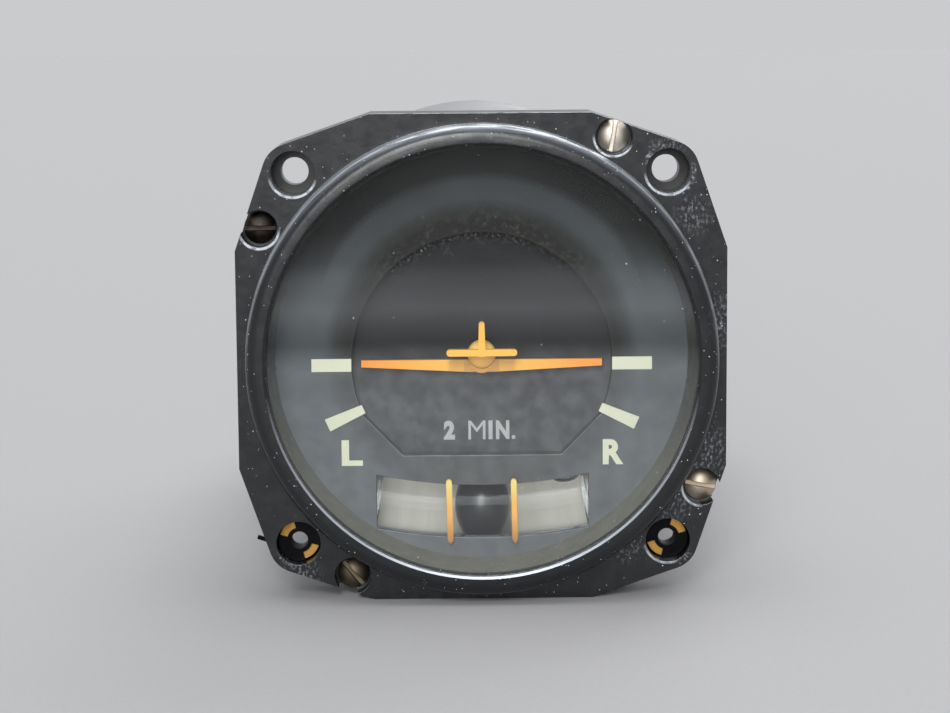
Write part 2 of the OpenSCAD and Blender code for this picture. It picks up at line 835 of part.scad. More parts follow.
// A cross bar on two posts, with a canted seat for a gimbal bearing
module yoke() {
  difference() {
    intersection() {
      block([-yoke_half_w, -yoke_y - yoke_t / 2, yoke_z - yoke_half_h],
        [yoke_half_w, -yoke_y + yoke_t / 2, yoke_z + yoke_half_h]);
      rod(bulkhead_r, -yoke_y - yoke_t, -yoke_y + yoke_t);
    }
    for (s = [-1, 1])
      rod_at([s * post_x, post_z], post_r + thread_gap, -yoke_y - yoke_t, -yoke_y + yoke_t);
    rotate([-gimbal_cant, 0, 0]) {
      rod(pivot_bearing_r + thread_gap, -pivot_reach - pivot_bearing_w / 2, 0);
      rod(pivot_r + 0.5, -pivot_reach - 20, 0);
    }
  }
}

module front_yoke() {
  color("#85888c") translate([0, rotor_y, 0]) yoke();
}

module rear_yoke() {
  color("#85888c") translate([0, rotor_y, 0]) rotate([180, 0, 0]) yoke();
}

module gimbal_bearings() {
  color("#c0c2c4") gimbal_space() for (s = [0, 1]) mirror([0, s, 0])
    tube(pivot_bearing_r, pivot_r + running_gap,
      -pivot_reach - pivot_bearing_w / 2, -pivot_reach + pivot_bearing_w / 2);
}

module gimbal_stops() {
  color("#8e8f91") for (s = [-1, 1])
    rod_at([s * stop_x, -stop_z], stop_r, rotor_y + frame_out_y * cos(gimbal_cant) - 8,
      rotor_y + yoke_y - yoke_t / 2);
}

module damper_bracket() {
  color("#9a9da1") difference() {
    union() {
      rod_at([post_x, post_z], post_r + 1.8, damper_global_y - 3, damper_global_y + 3);
      block([post_x - 2, damper_global_y - 3, post_z],
        [post_x + 1.8, damper_global_y + 3, damper_global_z - damper_r + 1.9]);
      block([damper_end - 5, damper_global_y - 3, damper_global_z - damper_r + 0.3],
        [post_x + 1.8, damper_global_y + 3, damper_global_z - damper_r + 1.9]);
    }
    rod_at([post_x, post_z], post_r + thread_gap, damper_global_y - 9, damper_global_y + 9);
    translate([0, damper_global_y, damper_global_z])
      cross_rod(damper_r + thread_gap, damper_start, damper_end + 1);
  }
}

module damper_cylinder() {
  color("#b08d4a") gimbal_space() translate([0, damper_y, damper_rise]) difference() {
    cross_rod(damper_r, damper_start, damper_end);
    cross_rod(damper_bore_r, damper_start + damper_end_wall, damper_end - damper_end_wall);
    cross_rod(rod_r + piston_gap, damper_start - 1, damper_start + 2);
  }
}

module damper_piston() {
  color("#8e8f91") gimbal_space() translate([0, damper_y, damper_rise]) {
    cross_rod(rod_r, eye_half - 0.2, piston_x + 0.1);
    cross_rod(damper_bore_r - piston_gap, piston_x, piston_x + piston_w);
    difference() {
      block([-eye_half, -eye_t / 2, -2.6], [eye_half, eye_t / 2, 1.9]);
      block([-eye_slot, -eye_t, -1.7], [eye_slot, eye_t, 1]);
    }
  }
}

module spring_anchor() {
  color("#9a9da1") difference() {
    union() {
      intersection() {
        block([-post_x - 1, rotor_y - 2, anchor_top - anchor_h],
          [post_x + 1, rotor_y + 2, anchor_top]);
        rod(bulkhead_r, rotor_y - 2, rotor_y + 2);
      }
      for (s = [-1, 1]) {
        rod_at([s * post_x, -post_z], post_r + 1.8, rotor_y - 2, rotor_y + 2);
        block([s * post_x - 1.5, rotor_y - 2, anchor_top - 0.1],
          [s * post_x + 1, rotor_y + 2, -post_z]);
      }
    }
    for (s = [-1, 1])
      rod_at([s * post_x, -post_z], post_r + thread_gap, rotor_y - 9, rotor_y + 9);
  }
}

module restraint_springs() {
  color("#a8aaac") for (s = [-1, 1]) translate([s * spring_x, rotor_y, anchor_top]) difference() {
    cylinder(r = spring_r, h = spring_top - anchor_top);
    translate([0, 0, -1]) cylinder(r = spring_r - spring_wire, h = spring_top - anchor_top + 2);
  }
}

// Gimbal and rotor
module gimbal_frame() {
  color("#8c8f93") gimbal_space() difference() {
    block([-frame_out_x, -frame_out_y, -frame_z], [frame_out_x, frame_out_y, frame_z]);
    block([-frame_in_x, -frame_in_y, -frame_z - 1], [frame_in_x, frame_in_y, frame_z + 1]);
    cross_rod(bearing_r + thread_gap, -frame_in_x - bearing_w, frame_in_x + bearing_w);
    cross_rod(rotor_shaft_r + 0.5, -frame_out_x - 1, frame_out_x + 1);
    rod(pivot_r + thread_gap, -frame_out_y - 1, frame_out_y + 1);
  }
}

module gimbal_pivots() {
  color("#c0c2c4") gimbal_space() for (s = [0, 1]) mirror([0, s, 0]) {
    rod(pivot_r, -pivot_reach - pivot_bearing_w / 2 - 0.5, -frame_in_y - 0.5);
    tube(pivot_r + 1, pivot_r - 0.1, -frame_out_y - 1.2, -frame_out_y);
  }
}

module crank_arm() {
  color("#b5b7ba") gimbal_space() {
    block([-arm_w / 2, arm_front, -crank_len - 0.8], [arm_w / 2, -frame_in_y, -frame_z]);
    translate([0, 0, -crank_len]) {
      rod(crank_ball_r - 0.35, -crank_reach, arm_front + 0.1);
      translate([0, -crank_reach, 0]) sphere(crank_ball_r);
    }
  }
}

module damper_arm() {
  color("#b5b7ba") gimbal_space() {
    block([-arm_w / 2, damper_y - eye_t / 2 - 0.4 - arm_t, frame_z],
      [arm_w / 2, damper_y - eye_t / 2 - 0.4, damper_rise + 1.6]);
    translate([0, 0, damper_rise])
      rod(damper_pin_r, damper_y - eye_t / 2 - 0.5, damper_y + eye_t / 2 + 0.6);
  }
}

module rotor_bearings() {
  color("#c0c2c4") gimbal_space() for (s = [0, 1]) mirror([s, 0, 0]) difference() {
    cross_rod(bearing_r, frame_in_x + 0.3, frame_in_x + bearing_w);
    cross_rod(rotor_shaft_r + running_gap, frame_in_x - 1, frame_in_x + bearing_w + 1);
  }
}

module rotor_shaft() {
  color("#c0c2c4") gimbal_space()
    cross_rod(rotor_shaft_r, -frame_out_x + 0.8, frame_out_x - 0.8);
}

module rotor_wheel() {
  half = rotor_w / 2;
  color("#a58a4e") gimbal_space() difference() {
    cross_rod(rotor_r, -half, half);
    cross_rod(rotor_r - rotor_rim, -half - 1, -2);
    cross_rod(rotor_r - rotor_rim, 2, half + 1);
    cross_rod(rotor_shaft_r + thread_gap, -half - 1, half + 1);
  }
}

module commutator() {
  color("#a8623a") gimbal_space() difference() {
    cross_rod(commutator_r, 2, commutator_x + commutator_w);
    cross_rod(rotor_shaft_r + thread_gap, 0, commutator_x + commutator_w + 1);
  }
}

module stator() {
  half = rotor_w / 2;
  color("#6d5238") gimbal_space() difference() {
    union() {
      cross_rod(rotor_r - rotor_rim - 1.5, -half + 0.5, -3.2);
      cross_rod(5, -frame_in_x, -half + 0.6);
    }
    cross_rod(rotor_shaft_r + 0.8, -frame_in_x - 1, 0);
  }
}

module brush_holder() {
  color("#3b2f28") gimbal_space() difference() {
    union() {
      block([frame_in_x - 2, -3, -9], [frame_in_x, 3, 9]);
      for (s = [0, 1]) mirror([0, 0, s])
        block([commutator_x, -2.4, commutator_r + 1.2], [frame_in_x - 1.9, 2.4, 8.6]);
    }
    cross_rod(bearing_r, frame_in_x - 3, frame_in_x + 1);
    for (s = [0, 1]) mirror([0, 0, s])
      block([commutator_x + 1, -1.25, commutator_r], [commutator_x + 4, 1.25, 7.6]);
  }
}

module brushes() {
  color("#2a2a2c") gimbal_space() for (s = [0, 1]) mirror([0, 0, s])
    block([commutator_x + 1.1, -1.15, commutator_r + brush_gap], [commutator_x + 3.9, 1.15, 7.5]);
}

// Pointer, turned by the crank
module wing_half() {
  polygon([
    [0, -wing_top], [wing_span / 2, -wing_top], [wing_span / 2, -wing_top - wing_tip_h],
    [fuselage_r, -wing_top - wing_root_h], [0, -wing_top - wing_root_h]
  ]);
}

module miniature_airplane() {
  color("#ef9f3c") difference() {
    union() {
      plate(wing_y, wing_y + wing_t) {
        wing_half();
        mirror([1, 0]) wing_half();
      }
      translate([0, 0, fuselage_z]) turned(concat(
        [[0, fuselage_back], [fuselage_r, fuselage_back], [fuselage_r, wing_y]],
        [for (a = [15:15:90]) [fuselage_r * cos(a), wing_y - dome_len * sin(a)]]
      ));
      rod_at([0, boom_z], boom_r, fuselage_front, wing_y);
      rod_at([0, belly_z], belly_r, wing_y - 0.4, fuselage_back);
      block([-tail_span / 2 + tail_h / 2, fuselage_front, tail_z - tail_h / 2],
        [tail_span / 2 - tail_h / 2, fuselage_front + tail_t, tail_z + tail_h / 2]);
      for (s = [-1, 1])
        rod_at([s * (tail_span - tail_h) / 2, tail_z], tail_h / 2,
          fuselage_front, fuselage_front + tail_t);
      plate(fuselage_front, fuselage_front + tail_t) {
        polygon([
          [-fin_root_w / 2, 0], [fin_root_w / 2, 0],
          [fin_tip_w / 2, fin_top - fin_tip_w / 2], [-fin_tip_w / 2, fin_top - fin_tip_w / 2]
        ]);
        translate([0, fin_top - fin_tip_w / 2]) circle(fin_tip_w / 2, $fn = 24);
      }
    }
    rod(pointer_shaft_r + thread_gap, fuselage_back - shaft_seat - 0.2, fuselage_back + 1);
  }
}

module pointer_shaft() {
  color("#c0c2c4") rod(pointer_shaft_r, fuselage_back - shaft_seat, fork_front + fork_t);
}

module pointer_fork() {
  hub_front = bridge_y + bridge_t + 0.8;
  color("#b5b7ba") difference() {
    union() {
      rod(fork_hub_r, hub_front, fork_front + fork_t);
      block([-fork_hub_r, fork_front, -fork_end], [fork_hub_r, fork_front + fork_t, 0]);
    }
    rod(pointer_shaft_r + thread_gap, hub_front - 1, fork_front + fork_t + 1);
    block([-fork_slot, fork_front - 1, -fork_end - 1],
      [fork_slot, fork_front + fork_t + 1, -fork_slot_start]);
  }
}

// Rear end of the case
module circuit_board() {
  color("#6f7a35") difference() {
    rod(board_r, board_y, board_back);
    for (k = [0:3]) rotate([0, 45 + 90 * k, 0])
      rod_at([standoff_ring, 0], small_screw_r + screw_gap, board_y - 1, board_back + 1);
  }
}

module board_standoffs() {
  color("#c0c2c4") for (k = [0:3]) rotate([0, 45 + 90 * k, 0]) {
    rod_at([standoff_ring, 0], standoff_r, rear_bulkhead_back, board_y);
    rod_at([standoff_ring, 0], small_screw_r, board_y - 0.1, board_back + 0.1);
    rod_at([standoff_ring, 0], standoff_r, board_back, board_back + 1.5);
  }
}

module capacitors() {
  color("#3f5f8a") for (p = capacitor_points)
    rod_at(p, capacitor_r, board_back, board_back + capacitor_len);
}

module choke() {
  color("#8a5a2b") difference() {
    rod_at(choke_point, choke_r, board_back, board_back + choke_len);
    rod_at(choke_point, choke_bore_r, board_back - 1, board_back + choke_len + 1);
  }
}

module rear_cover() {
  color("#8f9296") difference() {
    rod(case_r, cover_front, cover_back);
    rod(shell_nose_r + seat_gap, cover_front - 1, cover_back + 1);
    for (p = cover_points) rod_at(p, cover_screw_r + screw_gap, cover_front - 1, cover_back + 1);
    for (p = shell_screw_points)
      rod_at(p, shell_screw_r + thread_gap, cover_front - 1, cover_back + 1);
  }
}

module rear_cover_gasket() {
  color("#26221f") tube(case_r - 0.4, case_bore_r + 0.2, case_end, cover_front);
}

module rear_cover_screws() {
  head_ball = (small_head_r * small_head_r + 1) / 2;
  color("#8e8f91") for (p = cover_points) translate([p[0], 0, p[1]]) {
    rod(cover_screw_r, case_end - boss_len + 2, cover_back);
    translate([0, cover_back, 0]) rotate([0, 0, 180])
      slotted_head(small_head_r, 0.8, 1, head_ball, 0.7, 0.9);
  }
}

module connector_shell() {
  color("#9fa2a6") difference() {
    union() {
      plate(cover_back, shell_back) square(shell_flange_w, center = true);
      rod(shell_r, cover_back, shell_end);
      rod(shell_nose_r, cover_front - shell_nose, shell_back);
    }
    rod(shell_bore_r, cover_front - shell_nose - 1, shell_end + 1);
    for (p = shell_screw_points)
      rod_at(p, shell_screw_r + screw_gap, cover_back - 1, shell_back + 1);
  }
}

module connector_insert() {
  color("#3b3b3d") difference() {
    rod(shell_bore_r - seat_gap, insert_front, insert_back);
    for (p = pin_points) rod_at(p, pin_r + thread_gap, insert_front - 1, insert_back + 1);
  }
}

module connector_pins() {
  color("#c9b36a") for (p = pin_points) rod_at(p, pin_r, insert_front - 1.5, pin_end);
}

module connector_leads() {
  color("#b9b9b0") for (p = pin_points) rod_at(p, 0.5, board_back, insert_front - 1.5);
}

module connector_screws() {
  head_ball = (2 * 2 + 0.8 * 0.8) / 1.6;
  color("#8e8f91") for (p = shell_screw_points) translate([p[0], 0, p[1]]) {
    rod(shell_screw_r, cover_front, shell_back);
    translate([0, shell_back, 0]) rotate([0, 0, 180])
      slotted_head(2, 0.6, 0.8, head_ball, 0.6, 0.7);
  }
}

bezel();
glass_gasket();
cover_glass();
spacer_ring();
dial_mask();
dial_marks();
background_tray();
inclinometer_tube();
inclinometer_plugs();
inclinometer_backing();
inclinometer_bracket();
lubber_wires();
case();
case_seal();
bezel_screws();
mount_nuts();
nut_clips();
front_bulkhead();
rear_bulkhead();
bulkhead_posts();
frame_screws();
pointer_bushings();
pointer_bridge();
front_yoke();
rear_yoke();
gimbal_bearings();
gimbal_stops();
damper_bracket();
damper_cylinder();
spring_anchor();
restraint_springs();
circuit_board();
capacitors();
choke();
board_standoffs();
rear_cover();
rear_cover_gasket();
rear_cover_screws();
connector_shell();
connector_insert();
connector_pins();
connector_leads();
connector_screws();
miniature_airplane();
pointer_shaft();
pointer_fork();
gimbal_frame();
gimbal_pivots();
crank_arm();
damper_arm();
rotor_bearings();
stator();
brush_holder();
brushes();
rotor_wheel();
rotor_shaft();
commutator();
damper_piston();
inclinometer_ball();
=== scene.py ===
import json
import math
import bpy
from mathutils import Matrix, Vector

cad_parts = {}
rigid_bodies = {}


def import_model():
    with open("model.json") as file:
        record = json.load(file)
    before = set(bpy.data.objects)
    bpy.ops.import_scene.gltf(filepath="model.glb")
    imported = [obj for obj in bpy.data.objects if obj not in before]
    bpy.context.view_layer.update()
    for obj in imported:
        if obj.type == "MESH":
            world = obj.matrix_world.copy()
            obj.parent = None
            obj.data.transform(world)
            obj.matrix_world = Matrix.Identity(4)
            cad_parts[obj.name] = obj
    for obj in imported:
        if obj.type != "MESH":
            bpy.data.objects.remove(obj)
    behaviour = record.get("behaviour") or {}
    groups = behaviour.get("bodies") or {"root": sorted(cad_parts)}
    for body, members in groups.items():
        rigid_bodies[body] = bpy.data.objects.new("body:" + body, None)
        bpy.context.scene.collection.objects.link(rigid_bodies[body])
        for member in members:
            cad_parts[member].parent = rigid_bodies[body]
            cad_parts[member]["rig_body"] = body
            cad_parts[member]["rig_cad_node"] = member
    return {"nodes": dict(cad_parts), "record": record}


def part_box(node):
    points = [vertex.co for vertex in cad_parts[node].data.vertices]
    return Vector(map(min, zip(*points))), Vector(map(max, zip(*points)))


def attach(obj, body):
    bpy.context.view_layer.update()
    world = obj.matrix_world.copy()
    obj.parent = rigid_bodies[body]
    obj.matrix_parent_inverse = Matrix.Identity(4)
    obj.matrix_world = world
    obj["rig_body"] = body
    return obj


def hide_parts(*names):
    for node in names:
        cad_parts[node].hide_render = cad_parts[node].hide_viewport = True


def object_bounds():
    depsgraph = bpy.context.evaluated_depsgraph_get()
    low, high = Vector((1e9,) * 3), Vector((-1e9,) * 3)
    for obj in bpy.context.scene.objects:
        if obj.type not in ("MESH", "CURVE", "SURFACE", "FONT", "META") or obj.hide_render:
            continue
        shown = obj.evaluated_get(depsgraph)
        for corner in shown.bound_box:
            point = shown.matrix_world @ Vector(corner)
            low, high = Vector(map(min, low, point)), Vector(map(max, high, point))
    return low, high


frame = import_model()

# Rate of turn indicator: finishes, lettering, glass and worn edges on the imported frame.
# Places and sizes are in millimetres here and in the materials. The camera's distance and target and the
# floor's width are in metres, as Blender's own are, and MM turns millimetres into them.
cad_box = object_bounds()
nodes = frame["nodes"]
MM = 0.001

# Where the case's black flange ends, the middle of the cover glass, and how thick the tray's floor is
CASE_FLANGE_BACK_MM = 11.0
GLASS_MIDDLE_MM = -2.9
TRAY_FLOOR_MM = 0.8

# Camera, fitted to the mounting holes, the lip and the flange in the photograph
IMAGE_WIDTH = 950
FOCAL_PIXELS = 2479.0
SENSOR_MM = 36
CAMERA_YAW = 0.514
CAMERA_PITCH = 7.854
CAMERA_ROLL = -0.430
CAMERA_DISTANCE = 0.4176
CAMERA_TARGET = Vector((-0.00119, 0, 0.00041))

# Lettering of the mask and of the tray: piece, character, its left, right, bottom and top edge, and how much
# bolder than the font it is. The M stays thin, because its strokes run into each other when they are bolder.
MASK_LETTERS = [("letter_L", "L", (-24.12, -20.50, -19.05, -14.58), 0.035),
                ("letter_R", "R", (20.65, 24.20, -19.18, -14.80), 0.045)]
TRAY_LETTERS = [("turn_number", "2", (-6.6, -4.66, -15.2, -11.9), 0.06),
                ("turn_unit_M", "M", (-2.36, 0.6, -15.2, -11.9), 0.0),
                ("turn_unit_I", "I", (1.12, 1.82, -15.2, -11.9), 0.045),
                ("turn_unit_N", "N", (2.4, 4.72, -15.2, -11.9), 0.045),
                ("turn_unit_stop", ".", (5.12, 5.74, -15.2, -14.5), 0.045)]

# How far the print stands off its face
PRINT_MM = 0.06

# Strength of the weak glow drawn on the orange paint and wires: painted light, which no lamp gives
PAINTED_GLOW = 0.04

# Radius of the dome in the middle of the airplane
DOME_MM = 2.35

# Inclinometer: the circle that the tube's centreline follows, with the tube's radius and half its length in
# degrees, and the air bubble's place across, its rise above the centreline and its three half sizes
ARC_RADIUS_MM = 92.0
ARC_CENTRE_MM = (0.0, 13.0, 64.8)
TUBE_RADIUS_MM = 5.5
TUBE_HALF_TURN = 12.19
BUBBLE_X_MM = 15.2
BUBBLE_RISE_MM = 3.4
BUBBLE_HALF_MM = (2.8, 2.3, 1.5)

# Worn and lit places on the bezel: scuffed spots as centre and radius, and stretches of the rims of holes and
# notches as centre, inner and outer radius, first and last degree. RIM_RUBS adds ribs for each degree.
# RIM_RUBS are partly rubbed patches and partly painted glints.
SCUFFS = [((35.6, 0, 24.0), 4.0), ((31.0, 0, 35.0), 3.5), ((38.8, 0, 6.0), 6.5), ((-31.0, 0, -37.0), 4.0),
          ((31.5, 0, -24.5), 5.0), ((37.5, 0, -16.0), 6.0), ((24.0, 0, -32.0), 4.0)]
RIM_RUBS = [((31.4, 31.4), 3.9, 4.5, 128, 160, 0.0), ((31.4, 31.4), 3.9, 4.5, -62, 10, 0.0),
            ((31.4, -31.4), 3.9, 4.7, -66, -30, 0.14), ((-31.4, -31.4), 3.8, 4.2, 212, 255, 0.12)]
# Painted highlights along the lower rims of holes and notches, where light from above falls
RIM_HIGHLIGHT_LINES = [((-31.4, 31.4), 3.85, 4.12, 200, 335), ((31.4, 31.4), 3.85, 4.12, 195, 325),
             ((31.4, -31.4), 3.85, 4.1, 200, 288), ((-37.2, 22.2), 3.2, 3.5, 205, 350),
             ((22.2, 37.2), 3.2, 3.45, 185, 325), ((37.2, -22.2), 3.2, 3.5, 175, 262)]

# Bare metal of the ring's crest, drawn where it faces up, partly wear and partly a painted highlight: the
# radii where it begins, is full and ends, and how far back it reaches
RING_CREST_MM = (38.95, 39.25, 39.7)
CREST_BACK_MM = -2.4

# Bare bevel of the lip, drawn where it faces up, partly wear and partly a painted highlight: its outer
# radius, and how far back it reaches
LIP_BEVEL_MM = (36.75, -5.65)

# Pale dust and a painted sheen on top of the ring: the radii between which they thicken
RING_DUST_AND_SHEEN_MM = (36.9, 39.2)

# Bezel screws: place, colour of the head and colour of the slot, and then how far each one's colours reach.
# The colours are partly the screws' own ageing and partly painted light: dark heads for shade, pale slots for
# reflections
SCREWS = [((22.2, 1.5, 37.2), "#ddd4c6", "#6b5645"), ((-37.2, 1.5, 22.2), "#1f1b18", "#8a6046"),
          ((-22.2, 1.5, -37.2), "#5c5344", "#c0ae84"), ((37.2, 1.5, -22.2), "#b9ab99", "#cdb490")]
SCREW_REACH_MM = 5.0

# Nuts: the right one's centre, of which the left one is a mirror image, and the radius within which both are
# painted black, as shade in their bores
NUT_CENTRE = (31.44, -31.44)
NUT_BORE_MM = 1.5

# Dial: the radii between which a paler bluish ring on the mask rises, how it rises, the opening's centre, and
# the radii of the dust along its top. The paleness low on the dial and the film on the glass go by height, as
# shares of the way from the first value of DIAL_HEIGHT_MM to the second. The film is partly left by wiping
# and partly a painted reflection.
PALE_RING_MM = (23.2, 32.0)
PALE_RING_RISE = [(0.0, 0.0), (0.2, 0.3), (0.42, 1.0)]
OPENING_CENTRE = (0.0, -1.3)
OPENING_DUST_MM = (21.2, 22.0)
DIAL_HEIGHT_MM = (-36.0, 36.0)
DIAL_PALENESS = [(0.0, 0.29), (0.25, 0.26), (0.375, 0.24), (0.42, 0.17), (0.46, 0.22), (0.5, 0.08), (0.53, 0.0)]
GLASS_FILM_AND_REFLECTION = [(0.0, 0.085), (0.47, 0.08), (0.5, 0.06), (0.542, 0.01), (0.583, 0.05), (0.625, 0.11),
              (0.66, 0.08), (0.7, 0.06), (0.735, 0.012), (0.8, 0.004)]

# Nodes whose edges handling or tumbling has rounded, with the width of the rounding, and the angle in degrees
# from which an edge counts as one
ROUNDED_MM = {"bezel": 0.34, "dial_mask": 0.2, "bezel_screws": 0.1, "rear_cover_screws": 0.1,
              "connector_screws": 0.1, "mount_nuts": 0.08, "nut_clips": 0.08, "miniature_airplane": 0.14,
              "lubber_wires": 0.16}
SHARP_DEGREES = 35

# Lights: where each comes from, how wide it is in degrees, and its strength. Width of the floor.
LIGHTS = [("front_light", (-0.1, -0.84, 0.54), 16, 0.8), ("window_light", (-0.1, -0.95, 0.29), 28, 1.35),
          ("overhead_light", (0, 0, 1), 60, 1.3), ("back_light", (0.35, 0.75, 0.6), 40, 0.7)]
FLOOR_WIDTH = 12


# Colours and small node work
def linear(colour):
    """An sRGB hex colour as the linear colour that Blender works in."""
    parts = [int(colour[i:i + 2], 16) / 255 for i in (1, 3, 5)]
    return tuple(c / 12.92 if c <= 0.04045 else ((c + 0.055) / 1.055) ** 2.4 for c in parts) + (1.0,)


def add(made, kind, settings=None, links=None):
    """Adds one node. Settings are its properties or its inputs' values, links join its inputs."""
    node = made.node_tree.nodes.new("ShaderNode" + kind)
    for name, value in (settings or {}).items():
        if isinstance(name, str) and hasattr(node, name):
            setattr(node, name, value)
        else:
            node.inputs[name].default_value = value
    for name, source in (links or {}).items():
        made.node_tree.links.new(source, node.inputs[name])
    return node


def blank(name):
    """A material with no nodes yet."""
    made = bpy.data.materials.new(name)
    made.use_nodes = True
    made.node_tree.nodes.clear()
    return made


def millimetres(made, stretch=(1, 1, 1)):
    """Object coordinates in millimetres, with each axis stretched by a factor."""
    place = add(made, "TexCoord").outputs["Object"]
    return add(made, "Mapping", {"Scale": [1000 / s for s in stretch]}, {"Vector": place}).outputs[0]


def noise(made, size, detail=2.0, stretch=(1, 1, 1)):
    """Cloudy noise from 0 to 1, in patches about size millimetres across."""
    place = millimetres(made, stretch)
    return add(made, "TexNoise", {"Scale": 1 / size, "Detail": detail}, {"Vector": place}).outputs[0]


def between(made, value, low, high, first=0.0, last=1.0):
    """The value, read from low to high and turned into first to last."""
    settings = {"From Min": low, "From Max": high, "To Min": first, "To Max": last}
    return add(made, "MapRange", settings, {"Value": value}).outputs[0]


def blended(made, factor, first, second):
    """One colour turning into another as the factor goes from 0 to 1."""
    settings = {"data_type": "RGBA"}
    links = {}
    for key, value in ((0, factor), (6, first), (7, second)):
        if isinstance(value, str):
            settings[key] = linear(value)
        elif isinstance(value, float):
            settings[key] = value
        else:
            links[key] = value
    return add(made, "Mix", settings, links).outputs[2]


def joined(made, operation, first, second=0.0):
    """Two masks or heights joined by one arithmetic operation. The second may be a number, and an operation
    that takes one value leaves it unused."""
    if isinstance(second, (int, float)):
        return add(made, "Math", {"operation": operation, 1: second}, {0: first}).outputs[0]
    return add(made, "Math", {"operation": operation}, {0: first, 1: second}).outputs[0]


def specks(made, spacing, largest, share):
    """A mask of round specks: their spacing, their largest radius, and the share of places that hold one."""
    cells = add(made, "TexVoronoi", {"Scale": 1 / spacing}, {"Vector": millimetres(made)})
    chance = add(made, "SeparateColor", links={0: cells.outputs["Color"]}).outputs[0]
    held = joined(made, "GREATER_THAN", chance, 1 - share)
    radius = between(made, chance, 1 - share, 1.0, 0.55 * largest / spacing, largest / spacing)
    return joined(made, "LESS_THAN", cells.outputs["Distance"], joined(made, "MULTIPLY", held, radius))


def near(made, centre, radius):
    """A soft mask about a point, from 1 there to 0 at the radius."""
    away = add(made, "VectorMath", {"operation": "DISTANCE", 1: centre}, {0: millimetres(made)})
    return between(made, away.outputs["Value"], radius, 0.0)


def along(made, axis):
    """One coordinate in millimetres: 0 is across, 1 is back and 2 is up."""
    return add(made, "SeparateXYZ", links={0: millimetres(made)}).outputs[axis]


def facing_up(made, low, high):
    """A mask that grows from 0 to 1 as the surface turns to face up."""
    turn = add(made, "TexCoord").outputs["Normal"]
    return between(made, add(made, "SeparateXYZ", links={0: turn}).outputs["Z"], low, high)


def away_from(made, centre, mirrored=False):
    """The way across and up from a line along Y, which goes through a point given by x and z."""
    place = millimetres(made)
    if mirrored:
        place = add(made, "VectorMath", {"operation": "ABSOLUTE"}, {0: place}).outputs[0]
    line = (centre[0], 0, centre[1])
    away = add(made, "VectorMath", {"operation": "SUBTRACT", 1: line}, {0: place}).outputs[0]
    return add(made, "VectorMath", {"operation": "MULTIPLY", 1: (1, 0, 1)}, {0: away}).outputs[0]


def distance_from(made, centre, mirrored=False):
    """Distance in millimetres from such a line."""
    away = away_from(made, centre, mirrored)
    return add(made, "VectorMath", {"operation": "LENGTH"}, {0: away}).outputs["Value"]


def turn_round(made, centre):
    """The turn round such a line, in radians from the right."""
    parts = add(made, "SeparateXYZ", links={0: away_from(made, centre)}).outputs
    return joined(made, "ARCTAN2", parts["Z"], parts["X"])


def graded(made, value, low, high, stops):
    """The value, read from low to high and turned into the result that the stops give along the way."""
    ramp = add(made, "ValToRGB", links={0: between(made, value, low, high)})
    elements = ramp.color_ramp.elements
    while len(elements) < len(stops):
        elements.new(1.0)
    for element, (position, result) in zip(elements, stops):
        element.position = position
        element.color = (result, result, result, 1)
    return ramp.outputs[0]


def all_of(made, *masks):
    """Where every one of the masks holds."""
    total = masks[0]
    for mask in masks[1:]:
        total = joined(made, "MULTIPLY", total, mask)
    return total


def any_of(made, *masks):
    """Where at least one of the masks holds."""
    total = masks[0]
    for mask in masks[1:]:
        total = joined(made, "MAXIMUM", total, mask)
    return total


def bumped(made, height, depth_mm, strength):
    """A normal that follows a height of the given depth."""
    return add(made, "Bump", {"Distance": depth_mm * MM, "Strength": strength}, {"Height": height}).outputs[0]


def ringwise(made, radius, length, width):
    """Cloudy noise drawn out round the bezel's ring, in patches length by width millimetres at its crest."""
    run = joined(made, "MULTIPLY", turn_round(made, (0, 0)), RING_CREST_MM[1] / length)
    step = joined(made, "MULTIPLY", radius, 1 / width)
    place = add(made, "CombineXYZ", links={0: run, 1: step}).outputs[0]
    return add(made, "TexNoise", {"Scale": 1.0, "Detail": 3.0}, {"Vector": place}).outputs[0]


def coat(made, settings, links):
    """The opaque surface of a material."""
    shader = add(made, "BsdfPrincipled", settings, links)
    add(made, "OutputMaterial", links={"Surface": shader.outputs[0]})
    return made


# Wear on the enamel
def stretch_of_rim(made, centre, inner, outer, first, last):
    """A mask along part of a rim, which fades over 24 degrees at each end, and the degrees round it."""
    radius = distance_from(made, centre)
    degrees = joined(made, "MULTIPLY", turn_round(made, centre), 180 / math.pi)
    if last > 180:
        degrees = joined(made, "FLOORED_MODULO", degrees, 360)
    ring = all_of(made, between(made, radius, inner - 0.1, inner), between(made, radius, outer + 0.15, outer))
    start = between(made, degrees, first - 12, first + 12)
    end = between(made, degrees, last + 12, last - 12)
    return all_of(made, ring, start, end), degrees


def worn_and_lit_rims(made):
    """Rims of holes and notches drawn as bare metal: rubbed patches, some in ribs left by a turning tool,
    with painted glints among them, and painted highlights along the lower rims, where light from above falls.
    """
    rubs = []
    for centre, inner, outer, first, last, ribs in RIM_RUBS:
        stretch, degrees = stretch_of_rim(made, centre, inner, outer, first, last)
        if ribs:
            wave = joined(made, "SINE", joined(made, "MULTIPLY", degrees, ribs * 2 * math.pi))
            stretch = all_of(made, stretch, between(made, wave, -0.6, 0.6, 0.15, 1.0))
        rubs.append(stretch)
    rubs = all_of(made, any_of(made, *rubs), between(made, noise(made, 0.6, 3), 0.46, 0.66, 0.0, 0.6))
    lines = [stretch_of_rim(made, *line)[0] for line in RIM_HIGHLIGHT_LINES]
    lines = all_of(made, any_of(made, *lines), between(made, noise(made, 1.2, 3), 0.3, 0.5, 0.3, 0.8))
    return any_of(made, rubs, lines)


